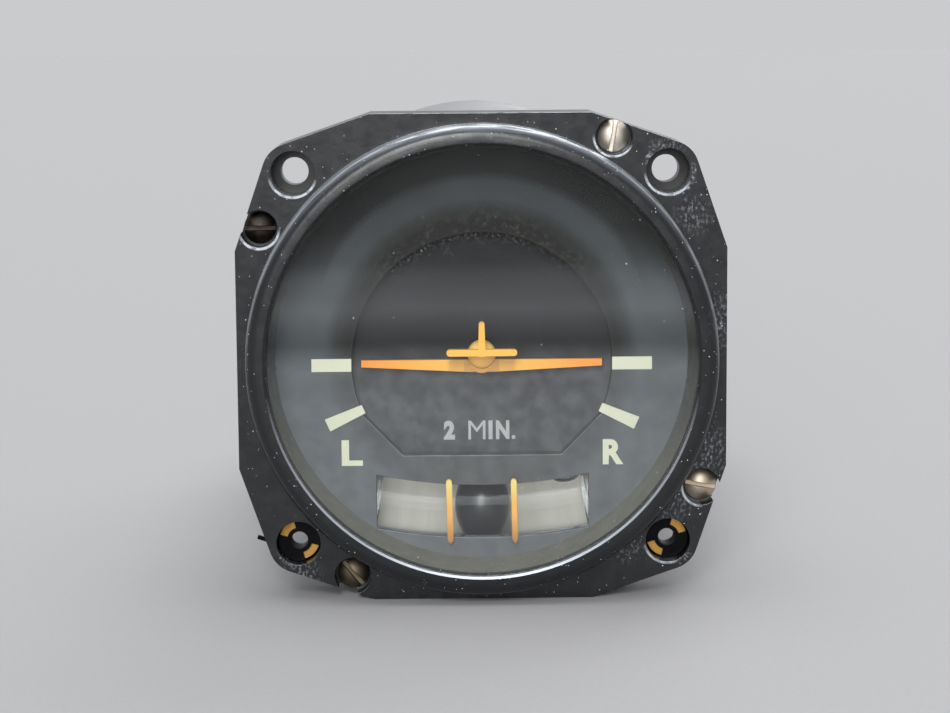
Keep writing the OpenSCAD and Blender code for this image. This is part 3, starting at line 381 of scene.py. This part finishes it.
# Paints
def enamel(name, rubbed):
    """Black stove enamel on a cast bezel: deep black and half glossy, faintly orange-peeled, with pale dust
    in it.
    Bare alloy is drawn where the ring's crest and the lip's bevel face up, on parts of the rims of holes and
    notches, and on the rubbed edges where they face up: partly wear from handling and partly painted
    highlights where light from above falls. The ring's upper shoulder has pale dust and a painted sheen. It
    is scuffed grey in places."""
    made = blank(name)
    base = blended(made, noise(made, 9, 3), "#0f1013", "#181a1e")
    rough = between(made, noise(made, 2.5, 3), 0.3, 0.7, 0.2, 0.32)
    radius = distance_from(made, (0, 0))
    streaky = ringwise(made, radius, 5.0, 0.28)
    on_ring = joined(made, "LESS_THAN", radius, RING_CREST_MM[2])
    # Crest and lip bevel drawn bare where they face up: partly wear, partly a painted highlight
    crest = all_of(made, between(made, radius, RING_CREST_MM[0], RING_CREST_MM[1]), on_ring,
                   joined(made, "LESS_THAN", along(made, 1), CREST_BACK_MM),
                   between(made, streaky, 0.36, 0.56, 0.12, 1.0), facing_up(made, -0.05, 0.75))
    bevel = all_of(made, joined(made, "LESS_THAN", radius, LIP_BEVEL_MM[0]),
                   joined(made, "LESS_THAN", along(made, 1), LIP_BEVEL_MM[1]),
                   between(made, streaky, 0.25, 0.4, 0.55, 1.0), facing_up(made, 0.1, 0.5))
    bare = any_of(made, crest, bevel)
    if rubbed:
        # Rubbed edges drawn bare where they face up: partly wear, partly a painted highlight
        worn = between(made, noise(made, 2.0, 4), 0.36, 0.5, 0.35, 1.0)
        bare = any_of(made, bare, all_of(made, worn, facing_up(made, 0.15, 0.5)))
    spots = any_of(made, *[near(made, centre, reach) for centre, reach in SCUFFS])
    streaks = between(made, noise(made, 0.5, 3, (1, 1, 1.5)), 0.5, 0.66)
    scuffed = all_of(made, between(made, spots, 0.0, 0.9), streaks)
    base = blended(made, scuffed, base, "#7c8086")
    # Pale dust and a painted sheen where the ring's shoulder faces up
    dust_and_light = all_of(made, between(made, radius, RING_DUST_AND_SHEEN_MM[0], RING_DUST_AND_SHEEN_MM[1]), on_ring,
                     facing_up(made, 0.2, 0.95), between(made, streaky, 0.3, 0.6, 0.3, 0.75))
    base = blended(made, dust_and_light, base, "#a0a7b0")
    bare = any_of(made, bare, worn_and_lit_rims(made))
    base = blended(made, bare, base, "#ccd2da")
    dust = any_of(made, specks(made, 0.9, 0.11, 0.3), specks(made, 0.6, 0.075, 0.25))
    from_crest = joined(made, "ABSOLUTE", joined(made, "SUBTRACT", radius, RING_CREST_MM[1]))
    near_ring = between(made, from_crest, 4.0, 1.0, 0.0, 0.3)
    thick = joined(made, "ADD", between(made, noise(made, 7, 3), 0.36, 0.64), near_ring)
    dust = all_of(made, dust, joined(made, "GREATER_THAN", thick, 0.3))
    base = blended(made, dust, base, "#d6dbe0")
    metallic = joined(made, "SUBTRACT", bare, dust)
    rough = any_of(made, rough, joined(made, "MULTIPLY", dust, 0.9), joined(made, "MULTIPLY", bare, 0.4))
    peel = bumped(made, noise(made, 1.1, 2), 0.05, 0.3)
    links = {"Base Color": base, "Roughness": rough, "Metallic": metallic, "Normal": peel}
    return coat(made, {"IOR": 1.5}, links)


def flat_paint(name, first, second, patch, rough):
    """Matt paint: two close shades in soft patches, smoother in some places and rougher in others."""
    made = blank(name)
    base = blended(made, noise(made, patch, 3), first, second)
    matt = between(made, noise(made, 2.5, 3), 0.3, 0.7, rough - 0.1, rough + 0.1)
    return coat(made, {"IOR": 1.5}, {"Base Color": base, "Roughness": matt})


def pale_ring(made, height):
    """How much a paler bluish ring shows on the outer part of the dial's black plate. In the upper part it is
    weaker and fades outwards."""
    radius = distance_from(made, (0, 0))
    inner = graded(made, radius, PALE_RING_MM[0], PALE_RING_MM[1], PALE_RING_RISE)
    outer = any_of(made, between(made, radius, 31.4, 29.6, 0.2, 1.0), between(made, height, 24.0, 10.0))
    weaker = between(made, height, 12.0, 26.0, 0.2, 0.13)
    return all_of(made, inner, outer, weaker, between(made, noise(made, 7, 3), 0.25, 0.7, 0.8, 1.15))


def opening_dust(made, radius, height):
    """How much dust lies on the tray along the top of the opening, apart from its right end."""
    edge = all_of(made, between(made, radius, OPENING_DUST_MM[0] - 0.6, OPENING_DUST_MM[0] + 0.3),
                  between(made, radius, OPENING_DUST_MM[1], OPENING_DUST_MM[1] - 0.3))
    arc = all_of(made, edge, between(made, height, 13.0, 16.0), between(made, along(made, 0), 9.0, 7.0))
    return all_of(made, arc, between(made, noise(made, 0.55, 2), 0.5, 0.7, 0.0, 0.6))


def dial_paint(name, first, second, mask):
    """Matt dial paint, a cloudy grey that is paler lower down, with a few separate grains of dust. The mask
    has a paler bluish ring on its outer part, and the tray has pale dust along the top of the opening."""
    made = blank(name)
    base = blended(made, noise(made, 9, 3), first, second)
    height = along(made, 2)
    cloud = graded(made, height, DIAL_HEIGHT_MM[0], DIAL_HEIGHT_MM[1], DIAL_PALENESS)
    patchy = 0.2 if mask else 0.35
    uneven = between(made, noise(made, 2.8, 4), 0.34, 0.66, 1 - patchy, 1 + patchy)
    base = blended(made, joined(made, "MULTIPLY", cloud, uneven), base, "#a3a5a8")
    if mask:
        base = blended(made, pale_ring(made, height), base, "#949fa7")
        dusty = between(made, distance_from(made, (0, 0)), 27.0, 22.5)
    else:
        radius = distance_from(made, OPENING_CENTRE)
        base = blended(made, opening_dust(made, radius, height), base, "#8f9089")
        dusty = between(made, radius, 17.0, 21.0)
    grains = any_of(made, specks(made, 1.3, 0.14, 0.3), specks(made, 2.4, 0.18, 0.2))
    clusters = between(made, noise(made, 5, 3), 0.4, 0.6)
    grains = all_of(made, grains, joined(made, "GREATER_THAN", clusters, 0.6))
    base = blended(made, joined(made, "MULTIPLY", grains, 0.7), base, "#83857f")
    upper = between(made, height, 8.0, 16.0)
    speckle = all_of(made, dusty, upper, between(made, noise(made, 0.7, 3), 0.5, 0.66))
    base = blended(made, joined(made, "MULTIPLY", speckle, 0.22), base, "#6a6a60")
    rough = between(made, noise(made, 3.0, 3), 0.3, 0.7, 0.75, 0.95)
    return coat(made, {"IOR": 1.5, "Specular IOR Level": 0.0}, {"Base Color": base, "Roughness": rough})


def mask_edge():
    """Edge of the mask's openings: the black paint is thin there, and where it faces up it is drawn paler,
    partly thin paint and partly painted light.
    """
    made = blank("worn_and_lit_mask_edge")
    base = blended(made, noise(made, 2.0, 3), "#1c1d1d", "#232424")
    # Painted light, partly thin paint: paler where the edge faces up
    lit = all_of(made, facing_up(made, 0.0, 0.3), between(made, noise(made, 3.0, 3), 0.3, 0.6, 0.5, 1.0))
    base = blended(made, lit, base, "#b4b7b9")
    return coat(made, {"Roughness": 0.7, "IOR": 1.5}, {"Base Color": base})


def dial_cream():
    """Flat cream dial paint, thick enough to hide what is under it: even, pale and without shine."""
    return flat_paint("cream_dial_paint", "#eceed4", "#e4e6ca", 3.0, 0.7)


def print_grey():
    """Thin grey dial print, so that a little of the dark ground dulls it."""
    return flat_paint("grey_dial_print", "#c4c6c6", "#b4b7b7", 1.5, 0.7)


def spacer_paint():
    """Flat dark olive paint on a turned ring. Where it faces up it is drawn beige: partly dust lying there,
    partly painted light from above.
    """
    made = blank("olive_ring_paint")
    base = blended(made, noise(made, 5, 3), "#33332a", "#2a2a24")
    # Dust and painted light where the ring faces up
    dust_and_light = all_of(made, facing_up(made, 0.05, 0.6), between(made, noise(made, 3, 4), 0.2, 0.6, 0.75, 1.0))
    base = blended(made, dust_and_light, base, "#77776c")
    lint = all_of(made, specks(made, 0.9, 0.14, 0.4), facing_up(made, -0.3, 0.2))
    base = blended(made, lint, base, "#c3c3bb")
    rough = between(made, noise(made, 2.5, 3), 0.3, 0.7, 0.6, 0.8)
    return coat(made, {"IOR": 1.5}, {"Base Color": base, "Roughness": rough})


def backing_paint():
    """White strip behind the tube: flat paint brushed up and down, so it has faint upright streaks."""
    made = blank("white_backing_paint")
    streak = noise(made, 1.2, 3, (1, 1, 12))
    base = blended(made, between(made, streak, 0.3, 0.7), "#f3f0e4", "#e9e6da")
    return coat(made, {"Roughness": 0.6, "IOR": 1.5}, {"Base Color": base})


def airplane_paint():
    """Fluorescent orange paint on the moulding: deep orange at the wing tips, faded to yellow inboard. The
    tailplane's shadow is painted brownish orange on the wing's middle under it, but left yellow within the
    dome, and a painted highlight makes the top of the dome paler. A weak glow of its own colour is drawn on
    it as painted light, which no lamp gives."""
    made = blank("orange_airplane_paint")
    out = joined(made, "ABSOLUTE", along(made, 0))
    height = along(made, 2)
    depth = along(made, 1)
    base = blended(made, between(made, out, 6.0, 20.5), "#ffc04c", "#ff981f")
    # Painted shadow of the tailplane on the middle of the wing
    below = between(made, height, -0.4, -0.8)
    belly = any_of(made, between(made, out, 6.0, 5.4, 0.0, 0.5), between(made, out, 3.4, 2.9, 0.0, 0.95))
    radius = distance_from(made, (0, 0))
    tail_shadow_colour = blended(made, between(made, radius, DOME_MM + 0.05, DOME_MM - 0.05), "#cf9a48", "#ffc466")
    behind_tail = between(made, depth, 4.5, 4.8)
    base = blended(made, all_of(made, belly, below, behind_tail), base, tail_shadow_colour)
    # Painted highlight on top of the dome
    on_dome = between(made, radius, DOME_MM + 0.3, DOME_MM)
    dome_highlight = all_of(made, on_dome, between(made, height, 0.2, 0.6), behind_tail)
    base = blended(made, dome_highlight, base, "#ffd878")
    rough = between(made, noise(made, 2.0, 3), 0.3, 0.7, 0.4, 0.55)
    # Painted light: a weak glow of the paint's own colour
    glow = {"IOR": 1.5, "Emission Strength": PAINTED_GLOW}
    return coat(made, glow, {"Base Color": base, "Roughness": rough, "Emission Color": base})


def wire_paint():
    """Fluorescent enamel on the wires: yellow at the top, orange lower down and brown towards the point,
    partly the enamel's colour and partly painted light and shade, with a weak painted glow.
    """
    made = blank("orange_wire_enamel")
    height = along(made, 2)
    # Painted light and shade: paler at the top, darker towards the point
    base = blended(made, between(made, height, -22.5, -26.0), "#ffe27a", "#ffbb52")
    base = blended(made, between(made, height, -27.5, -32.5), base, "#b27a30")
    # Painted light: a weak glow of the enamel's own colour
    glow = {"Roughness": 0.4, "IOR": 1.5, "Emission Strength": PAINTED_GLOW}
    return coat(made, glow, {"Base Color": base, "Emission Color": base})


# Metals
def metal(name, first, second, rough, patch=4.0, grain=(1, 1, 1), stain="#000000", stained=0.0):
    """Bare or plated metal: two close shades, with tool marks along the grain and stain in cloudy patches.
    The marks are coarser than real ones, so that they show."""
    made = blank(name)
    base = blended(made, noise(made, patch, 3), first, second)
    if stained > 0:
        cloud = between(made, noise(made, patch * 0.4, 4), 0.75 - stained, 0.9 - stained)
        base = blended(made, cloud, base, stain)
    marks = noise(made, 0.22, 2, grain)
    rough_now = between(made, marks, 0.3, 0.7, rough - 0.07, rough + 0.07)
    normal = bumped(made, marks, 0.01, 0.5)
    return coat(made, {"Metallic": 1.0}, {"Base Color": base, "Roughness": rough_now, "Normal": normal})


def turned_aluminium():
    """Turned aluminium, satin: rings from the tool run round the case, with a few darker handling marks. The
    rings are 0.5 mm wide, several times as coarse as real ones, so that they show. The case's flange, in
    front of the cylinder, is enamelled black like the bezel."""
    made = blank("turned_aluminium")
    rings = noise(made, 0.5, 3, (400, 1, 400))
    base = blended(made, noise(made, 16, 4), "#b9bbbd", "#a3a6a9")
    marks = between(made, noise(made, 5, 5), 0.62, 0.72)
    base = blended(made, joined(made, "MULTIPLY", marks, 0.5), base, "#7f8183")
    cylinder = joined(made, "GREATER_THAN", along(made, 1), CASE_FLANGE_BACK_MM)
    base = blended(made, cylinder, "#111214", base)
    rough = between(made, rings, 0.3, 0.7, 0.26, 0.42)
    normal = bumped(made, rings, 0.02, 0.5)
    links = {"Base Color": base, "Roughness": rough, "Metallic": cylinder, "Normal": normal}
    return coat(made, {"IOR": 1.5}, links)


def faced_aluminium():
    """Faced aluminium cover: the tool's rings run round the axis on the flat end, coarse enough to show."""
    made = blank("faced_aluminium")
    radius = distance_from(made, (0, 0))
    settings = {"noise_dimensions": "1D", "Scale": 2.2, "Detail": 3}
    rings = add(made, "TexNoise", settings, {"W": radius}).outputs[0]
    base = blended(made, noise(made, 11, 4), "#a8abae", "#94979a")
    rough = between(made, rings, 0.3, 0.7, 0.28, 0.44)
    normal = bumped(made, rings, 0.02, 0.6)
    return coat(made, {"Metallic": 1.0}, {"Base Color": base, "Roughness": rough, "Normal": normal})


def nickel_screws():
    """Nickel-plated screws: dull warm white, with brown dirt and painted shade in slots and corners, darker
    the more enclosed they are. The four in the bezel each have their own colours, partly ageing and partly
    painted light and shade, and the left one is almost black."""
    made = blank("stained_and_shaded_nickel")
    head = blended(made, noise(made, 1.6, 3), "#cfc8bc", "#b8afa2")
    slot = blended(made, noise(made, 1.6, 3), "#4b3a2a", "#5a4836")
    # Each screw's own colours: partly ageing, partly painted shade and reflection
    for centre, head_colour, slot_colour in SCREWS:
        mine = joined(made, "GREATER_THAN", near(made, centre, SCREW_REACH_MM), 0.0)
        mottled = between(made, noise(made, 1.4, 3), 0.3, 0.7, 0.9, 1.0)
        head = blended(made, all_of(made, mine, mottled), head, head_colour)
        slot = blended(made, mine, slot, slot_colour)
    # Painted shade and dirt in slots and corners, by how enclosed they are
    corner = add(made, "AmbientOcclusion", {"Distance": 0.55 * MM, "samples": 8}).outputs["AO"]
    grime_and_shade = between(made, corner, 0.7, 0.48)
    base = blended(made, grime_and_shade, head, slot)
    metallic = between(made, grime_and_shade, 0, 1, 1.0, 0.35)
    rough = between(made, grime_and_shade, 0.0, 1.0, 0.5, 0.7)
    return coat(made, {}, {"Base Color": base, "Roughness": rough, "Metallic": metallic})


def nut_brass():
    """Machined brass nuts, dulled by age, with their threaded bores painted black as shade."""
    made = blank("dulled_brass")
    base = blended(made, noise(made, 2.0, 3), "#c69a4e", "#a98040")
    radius = distance_from(made, (NUT_CENTRE[0], -NUT_CENTRE[1]), mirrored=True)
    # Painted shade: black inside the bore
    outside = joined(made, "GREATER_THAN", radius, NUT_BORE_MM)
    base = blended(made, outside, "#080706", base)
    rough = between(made, noise(made, 0.8, 2), 0.3, 0.7, 0.4, 0.55)
    metallic = joined(made, "MULTIPLY", outside, 0.8)
    return coat(made, {}, {"Base Color": base, "Roughness": rough, "Metallic": metallic})


# Glass, plastics and rubber
def clear_glass(name, tint, ior, level):
    """Polished glass: the material and its shader. Light for shadows and soft light passes straight through
    it, as through a thin pane. The level is the share of its mirror image that a coating leaves."""
    made = blank(name)
    settings = {"Base Color": linear(tint), "Transmission Weight": 1.0, "IOR": ior, "Roughness": 0.0,
                "Specular Tint": (level, level, level, 1)}
    glass = add(made, "BsdfPrincipled", settings)
    through = add(made, "BsdfTransparent")
    path = add(made, "LightPath")
    open_way = any_of(made, path.outputs["Is Shadow Ray"], path.outputs["Is Diffuse Ray"])
    clear = add(made, "MixShader", links={0: open_way, 1: glass.outputs[0], 2: through.outputs[0]})
    return made, clear.outputs[0]


def tube_glass():
    """Glass tube full of clear spirit, drawn as one piece."""
    made, clear = clear_glass("filled_glass_tube", "#fafbf8", 1.45, 0.3)
    add(made, "OutputMaterial", links={"Surface": clear})
    return made


def cover_glass():
    """Coated plate glass. A bluish film is drawn on its front, low down and in a band across above the
    middle, partly left by wiping and partly a painted reflection, and grains of dust lie on it."""
    made, clear = clear_glass("coated_plate_glass", "#fbfdfd", 1.5, 0.25)
    # Film on the front: partly a wiped film, partly a painted reflection
    film = graded(made, along(made, 2), DIAL_HEIGHT_MM[0], DIAL_HEIGHT_MM[1], GLASS_FILM_AND_REFLECTION)
    film = all_of(made, film, between(made, noise(made, 6, 4, (3, 1, 1)), 0.25, 0.75, 0.85, 1.15))
    front = joined(made, "LESS_THAN", along(made, 1), GLASS_MIDDLE_MM)
    grains = any_of(made, specks(made, 2.4, 0.11, 0.2), specks(made, 3.5, 0.15, 0.2))
    cover = all_of(made, any_of(made, grains, film), front)
    colour = blended(made, grains, "#c0c5c9", "#f8fafc")
    pale = add(made, "BsdfDiffuse", links={"Color": colour})
    dusty = add(made, "MixShader", links={0: cover, 1: clear, 2: pale.outputs[0]})
    add(made, "OutputMaterial", links={"Surface": dusty.outputs[0]})
    return made


def moulded(name, colour, rough):
    """Moulded plastic or rubber: an even colour, a little greyer in patches, with the faint grain of its
    mould, drawn coarse enough to show."""
    made = blank(name)
    base = blended(made, between(made, noise(made, 6, 3), 0.2, 0.8, 0.0, 0.25), colour, "#808080")
    normal = bumped(made, noise(made, 0.3, 2), 0.02, 0.4)
    return coat(made, {"Roughness": rough, "IOR": 1.5}, {"Base Color": base, "Normal": normal})


def ball_glass():
    """Black glass ball, smooth but a little dulled, so that its highlights are soft."""
    made = blank("black_ball_glass")
    base = blended(made, noise(made, 3, 2), "#141519", "#26272b")
    return coat(made, {"Roughness": 0.3, "IOR": 1.52}, {"Base Color": base})


black_enamel = enamel("black_stove_enamel", False)
rubbed_enamel = enamel("rubbed_stove_enamel", True)
dial_print = print_grey()

# The finish of each material slot. Rubber and carbon are dull and dark, the laminate is olive with a low
# shine, and sleeve and phenolic moulding are glossy. Ground and drawn steel are bright, phosphated steel is
# black with a grey sheen, cast aluminium is light grey and satin, varnished copper is reddish brown, the
# laminations are brown and dull, and the connector's plating is greenish grey and a little stained.
FINISHES = {
    "black_enamel": black_enamel,
    "seal_rubber": moulded("nitrile_rubber", "#1c1b1a", 0.75),
    "cover_glass": cover_glass(),
    "spacer_paint": spacer_paint(),
    "dial_black": dial_paint("matt_black_dial_paint", "#282826", "#30302e", True),
    "dial_cream": dial_cream(),
    "tray_black": dial_paint("matt_grey_dial_paint", "#282829", "#313133", False),
    "tube_glass": tube_glass(),
    "tube_plug": moulded("sealing_plug", "#b9b3a2", 0.6),
    "tube_backing": backing_paint(),
    "wire_orange": wire_paint(),
    "case_aluminium": turned_aluminium(),
    "frame_aluminium": metal("cast_aluminium", "#a2a4a7", "#8f9194", 0.42, 6.0),
    "nickel_screws": nickel_screws(),
    "nut_brass": nut_brass(),
    "clip_steel": metal("phosphated_spring_steel", "#1a1a1c", "#101012", 0.4, 2.0),
    "bearing_steel": metal("ground_steel", "#c3c5c7", "#b3b5b8", 0.22, 3.0),
    "spring_steel": metal("drawn_spring_wire", "#a9abad", "#98999c", 0.3, 2.0),
    "board_laminate": moulded("glass_epoxy_laminate", "#66702f", 0.4),
    "capacitor_sleeve": moulded("shrunk_blue_sleeve", "#3a5a85", 0.3),
    "copper_winding": metal("enamelled_copper", "#b8703f", "#a05c30", 0.3, 2.0, (1, 6, 1)),
    "shell_plating": metal("plated_connector_shell", "#9ea19b", "#8c8f8a", 0.35, 5.0, (1, 6, 1),
                           "#6c6b60", 0.12),
    "insert_plastic": moulded("connector_insert", "#26262a", 0.5),
    "airplane_orange": airplane_paint(),
    "stator_iron": metal("varnished_laminations", "#5f5348", "#4c4239", 0.45, 3.0),
    "holder_bakelite": moulded("phenolic_moulding", "#3b2d26", 0.35),
    "brush_carbon": moulded("pressed_carbon", "#222224", 0.6),
    "ball_glass": ball_glass(),
}

# Finishes of the rounded edges that differ from the rest of their piece
RUBBED_EDGES = {"bezel": rubbed_enamel, "dial_mask": mask_edge()}

# The record's material slot of each node
SLOT_OF = {part["node"]: part["material_slot"] for part in frame["record"]["subparts"]}


# Modelling helpers
def only(piece):
    """Selects one piece alone and makes it active."""
    bpy.ops.object.select_all(action="DESELECT")
    piece.select_set(True)
    bpy.context.view_layer.objects.active = piece


def apply_modifiers(piece):
    """Turns a piece's modifiers into its mesh."""
    only(piece)
    for modifier in list(piece.modifiers):
        bpy.ops.object.modifier_apply(modifier=modifier.name)


def placed(piece):
    """Puts a piece's place, turn and size into its mesh."""
    only(piece)
    bpy.ops.object.transform_apply(location=True, rotation=True, scale=True)


def finished(piece, body, slot):
    """Gives a piece its body, and the slot's finish where it has none yet."""
    if not piece.data.materials:
        piece.data.materials.append(FINISHES[slot])
    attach(piece, body)


def dressed(node, edge_mm):
    """Stands for a CAD node with its edges rubbed round by edge_mm. Where the rounding has a finish of its
    own, that is the piece's second material."""
    source = nodes[node]
    piece = source.copy()
    piece.data = source.data.copy()
    piece.name = "rubbed_" + node
    body = piece["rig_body"]
    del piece["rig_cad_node"]
    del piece["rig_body"]
    piece.parent = None
    bpy.context.scene.collection.objects.link(piece)
    only(piece)
    bpy.ops.mesh.customdata_custom_splitnormals_clear()
    bpy.ops.object.mode_set(mode="EDIT")
    bpy.ops.mesh.select_all(action="SELECT")
    bpy.ops.mesh.remove_doubles(threshold=2e-6)
    bpy.ops.mesh.dissolve_limited(angle_limit=math.radians(0.5))
    bpy.ops.mesh.select_all(action="SELECT")
    bpy.ops.mesh.normals_make_consistent(inside=False)
    bpy.ops.object.mode_set(mode="OBJECT")
    piece.data.materials.clear()
    piece.data.materials.append(FINISHES[SLOT_OF[node]])
    rubbed = RUBBED_EDGES.get(node)
    if rubbed:
        piece.data.materials.append(rubbed)
    sharp = math.radians(SHARP_DEGREES)
    bpy.ops.object.shade_smooth_by_angle(angle=sharp)
    rounding = piece.modifiers.new("rubbed_edges", "BEVEL")
    rounding.limit_method = "ANGLE"
    rounding.angle_limit = sharp
    rounding.width = edge_mm * MM
    rounding.segments = 2
    rounding.harden_normals = True
    rounding.use_clamp_overlap = True
    if rubbed:
        rounding.material = 1
    apply_modifiers(piece)
    finished(piece, body, SLOT_OF[node])
    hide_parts(node)


# Lettering of the dial
def lettering(name, character, edges, weight, face_mm, finish):
    """One plain character, printed on the face at face_mm and fitted between its four edges."""
    left, right, bottom, top = edges
    bpy.ops.object.select_all(action="DESELECT")
    bpy.ops.object.text_add()
    piece = bpy.context.active_object
    piece.name = name
    piece.data.body = character
    piece.data.offset = weight
    piece.data.extrude = 0.05
    piece.data.resolution_u = 6
    only(piece)
    bpy.ops.object.convert(target="MESH")
    piece = bpy.context.active_object
    corners = [Vector(c) for c in piece.bound_box]
    low = Vector([min(c[i] for c in corners) for i in range(3)])
    high = Vector([max(c[i] for c in corners) for i in range(3)])
    wide, tall, deep = high - low
    piece.rotation_euler = (math.radians(90), 0, 0)
    piece.scale = ((right - left) * MM / wide, (top - bottom) * MM / tall, PRINT_MM * MM / deep)
    across = left * MM - low.x * piece.scale.x
    up = bottom * MM - low.y * piece.scale.y
    piece.location = (across, (face_mm - PRINT_MM / 2) * MM, up)
    placed(piece)
    piece.data.materials.clear()
    piece.data.materials.append(finish)
    finished(piece, "housing", "dial_cream")


mask_face_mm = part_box("dial_mask")[0].y / MM
tray_face_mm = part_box("background_tray")[1].y / MM - TRAY_FLOOR_MM
for letter in MASK_LETTERS:
    lettering(*letter, mask_face_mm, FINISHES["dial_cream"])
for letter in TRAY_LETTERS:
    lettering(*letter, tray_face_mm, dial_print)


# Filled inclinometer tube
def filled_tube():
    """The glass tube and its liquid as one clear bent rod, which magnifies what lies behind it, with the air
    bubble as a hollow in it."""
    centre = Vector(ARC_CENTRE_MM) * MM
    start = math.radians(-TUBE_HALF_TURN)
    first = centre + Vector((math.sin(start), 0, -math.cos(start))) * ARC_RADIUS_MM * MM
    bpy.ops.object.select_all(action="DESELECT")
    bpy.ops.mesh.primitive_circle_add(vertices=48, radius=TUBE_RADIUS_MM * MM, fill_type="NGON",
                                      location=first, rotation=(0, math.pi / 2 - start, 0))
    rod = bpy.context.active_object
    rod.name = "filled_tube"
    placed(rod)
    bpy.ops.object.mode_set(mode="EDIT")
    bpy.ops.mesh.select_all(action="SELECT")
    bpy.ops.mesh.spin(steps=40, angle=-2 * start, center=centre, axis=(0, 1, 0))
    bpy.ops.mesh.select_all(action="SELECT")
    bpy.ops.mesh.remove_doubles(threshold=1e-7)
    bpy.ops.mesh.normals_make_consistent(inside=False)
    bpy.ops.object.mode_set(mode="OBJECT")
    turn = math.asin(BUBBLE_X_MM / ARC_RADIUS_MM)
    reach = (ARC_RADIUS_MM - BUBBLE_RISE_MM) * MM
    bubble_at = centre + Vector((math.sin(turn), 0, -math.cos(turn))) * reach
    bpy.ops.object.select_all(action="DESELECT")
    bpy.ops.mesh.primitive_uv_sphere_add(segments=32, ring_count=16, radius=MM, location=bubble_at,
                                         rotation=(0, -turn, 0), scale=BUBBLE_HALF_MM)
    bubble = bpy.context.active_object
    placed(bubble)
    bpy.ops.object.mode_set(mode="EDIT")
    bpy.ops.mesh.select_all(action="SELECT")
    bpy.ops.mesh.normals_make_consistent(inside=True)
    bpy.ops.object.mode_set(mode="OBJECT")
    only(rod)
    bubble.select_set(True)
    bpy.ops.object.join()
    bpy.ops.object.shade_smooth_by_angle(angle=math.radians(40))
    rod.data.materials.clear()
    finished(rod, "housing", "tube_glass")
    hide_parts("inclinometer_tube")


filled_tube()

# Finishes of the nodes that stay as they are, and the pieces with rounded edges that stand for the others
for name, node in nodes.items():
    finish = faced_aluminium() if name == "rear_cover" else FINISHES[SLOT_OF[name]]
    node.data.materials.clear()
    node.data.materials.append(finish)
for name, edge_mm in ROUNDED_MM.items():
    dressed(name, edge_mm)


# Studio
def soft_sun(name, direction, spread, strength):
    """Even soft light that comes from one side, as from a wide window or ceiling."""
    light = bpy.data.lights.new(name, "SUN")
    light.angle = math.radians(spread)
    light.energy = strength
    lamp = bpy.data.objects.new(name, light)
    bpy.context.scene.collection.objects.link(lamp)
    lamp.rotation_euler = Vector(direction).to_track_quat("Z", "Y").to_euler()


def studio():
    """A plain pale floor and soft light from the front, above and behind."""
    bpy.ops.object.select_all(action="DESELECT")
    bpy.ops.mesh.primitive_plane_add(size=FLOOR_WIDTH, location=(0, 0, cad_box[0].z))
    floor = bpy.context.active_object
    floor.name = "floor"
    placed(floor)
    made = blank("pale_floor")
    base = blended(made, noise(made, 0.9, 3), "#bcbcbe", "#b4b4b6")
    coat(made, {"Roughness": 0.9}, {"Base Color": base})
    floor.data.materials.append(made)
    for light in LIGHTS:
        soft_sun(*light)
    world = bpy.data.worlds.new("soft_room")
    bpy.context.scene.world = world
    world.use_nodes = True
    world.node_tree.nodes.clear()
    path = add(world, "LightPath").outputs
    shown = any_of(world, path["Is Camera Ray"], path["Is Glossy Ray"], path["Is Transmission Ray"])
    seen = add(world, "Background", {"Color": linear("#cacbcd"), "Strength": 1.0})
    shining = add(world, "Background", {"Color": linear("#f4f6f8"), "Strength": 0.35})
    mix = add(world, "MixShader", links={0: shown, 1: shining.outputs[0], 2: seen.outputs[0]})
    add(world, "OutputWorld", links={"Surface": mix.outputs[0]})
    bpy.context.scene.view_settings.view_transform = "Standard"


def camera():
    """The camera where the photograph was taken from."""
    yaw, pitch, roll = (math.radians(a) for a in (CAMERA_YAW, CAMERA_PITCH, CAMERA_ROLL))
    forward = Vector((math.sin(yaw) * math.cos(pitch), math.cos(yaw) * math.cos(pitch), -math.sin(pitch)))
    level = Vector((math.cos(yaw), -math.sin(yaw), 0))
    upright = level.cross(forward)
    right = math.cos(roll) * level + math.sin(roll) * upright
    up = -math.sin(roll) * level + math.cos(roll) * upright
    lens = bpy.data.cameras.new("camera")
    lens.sensor_width = SENSOR_MM
    lens.lens = FOCAL_PIXELS * SENSOR_MM / IMAGE_WIDTH
    lens.clip_start = 0.01
    lens.clip_end = 50
    seen_from = bpy.data.objects.new("camera", lens)
    bpy.context.scene.collection.objects.link(seen_from)
    turn = Matrix((right, up, -forward)).transposed().to_4x4()
    seen_from.matrix_world = Matrix.Translation(CAMERA_TARGET - forward * CAMERA_DISTANCE) @ turn
    bpy.context.scene.camera = seen_from


studio()
camera()
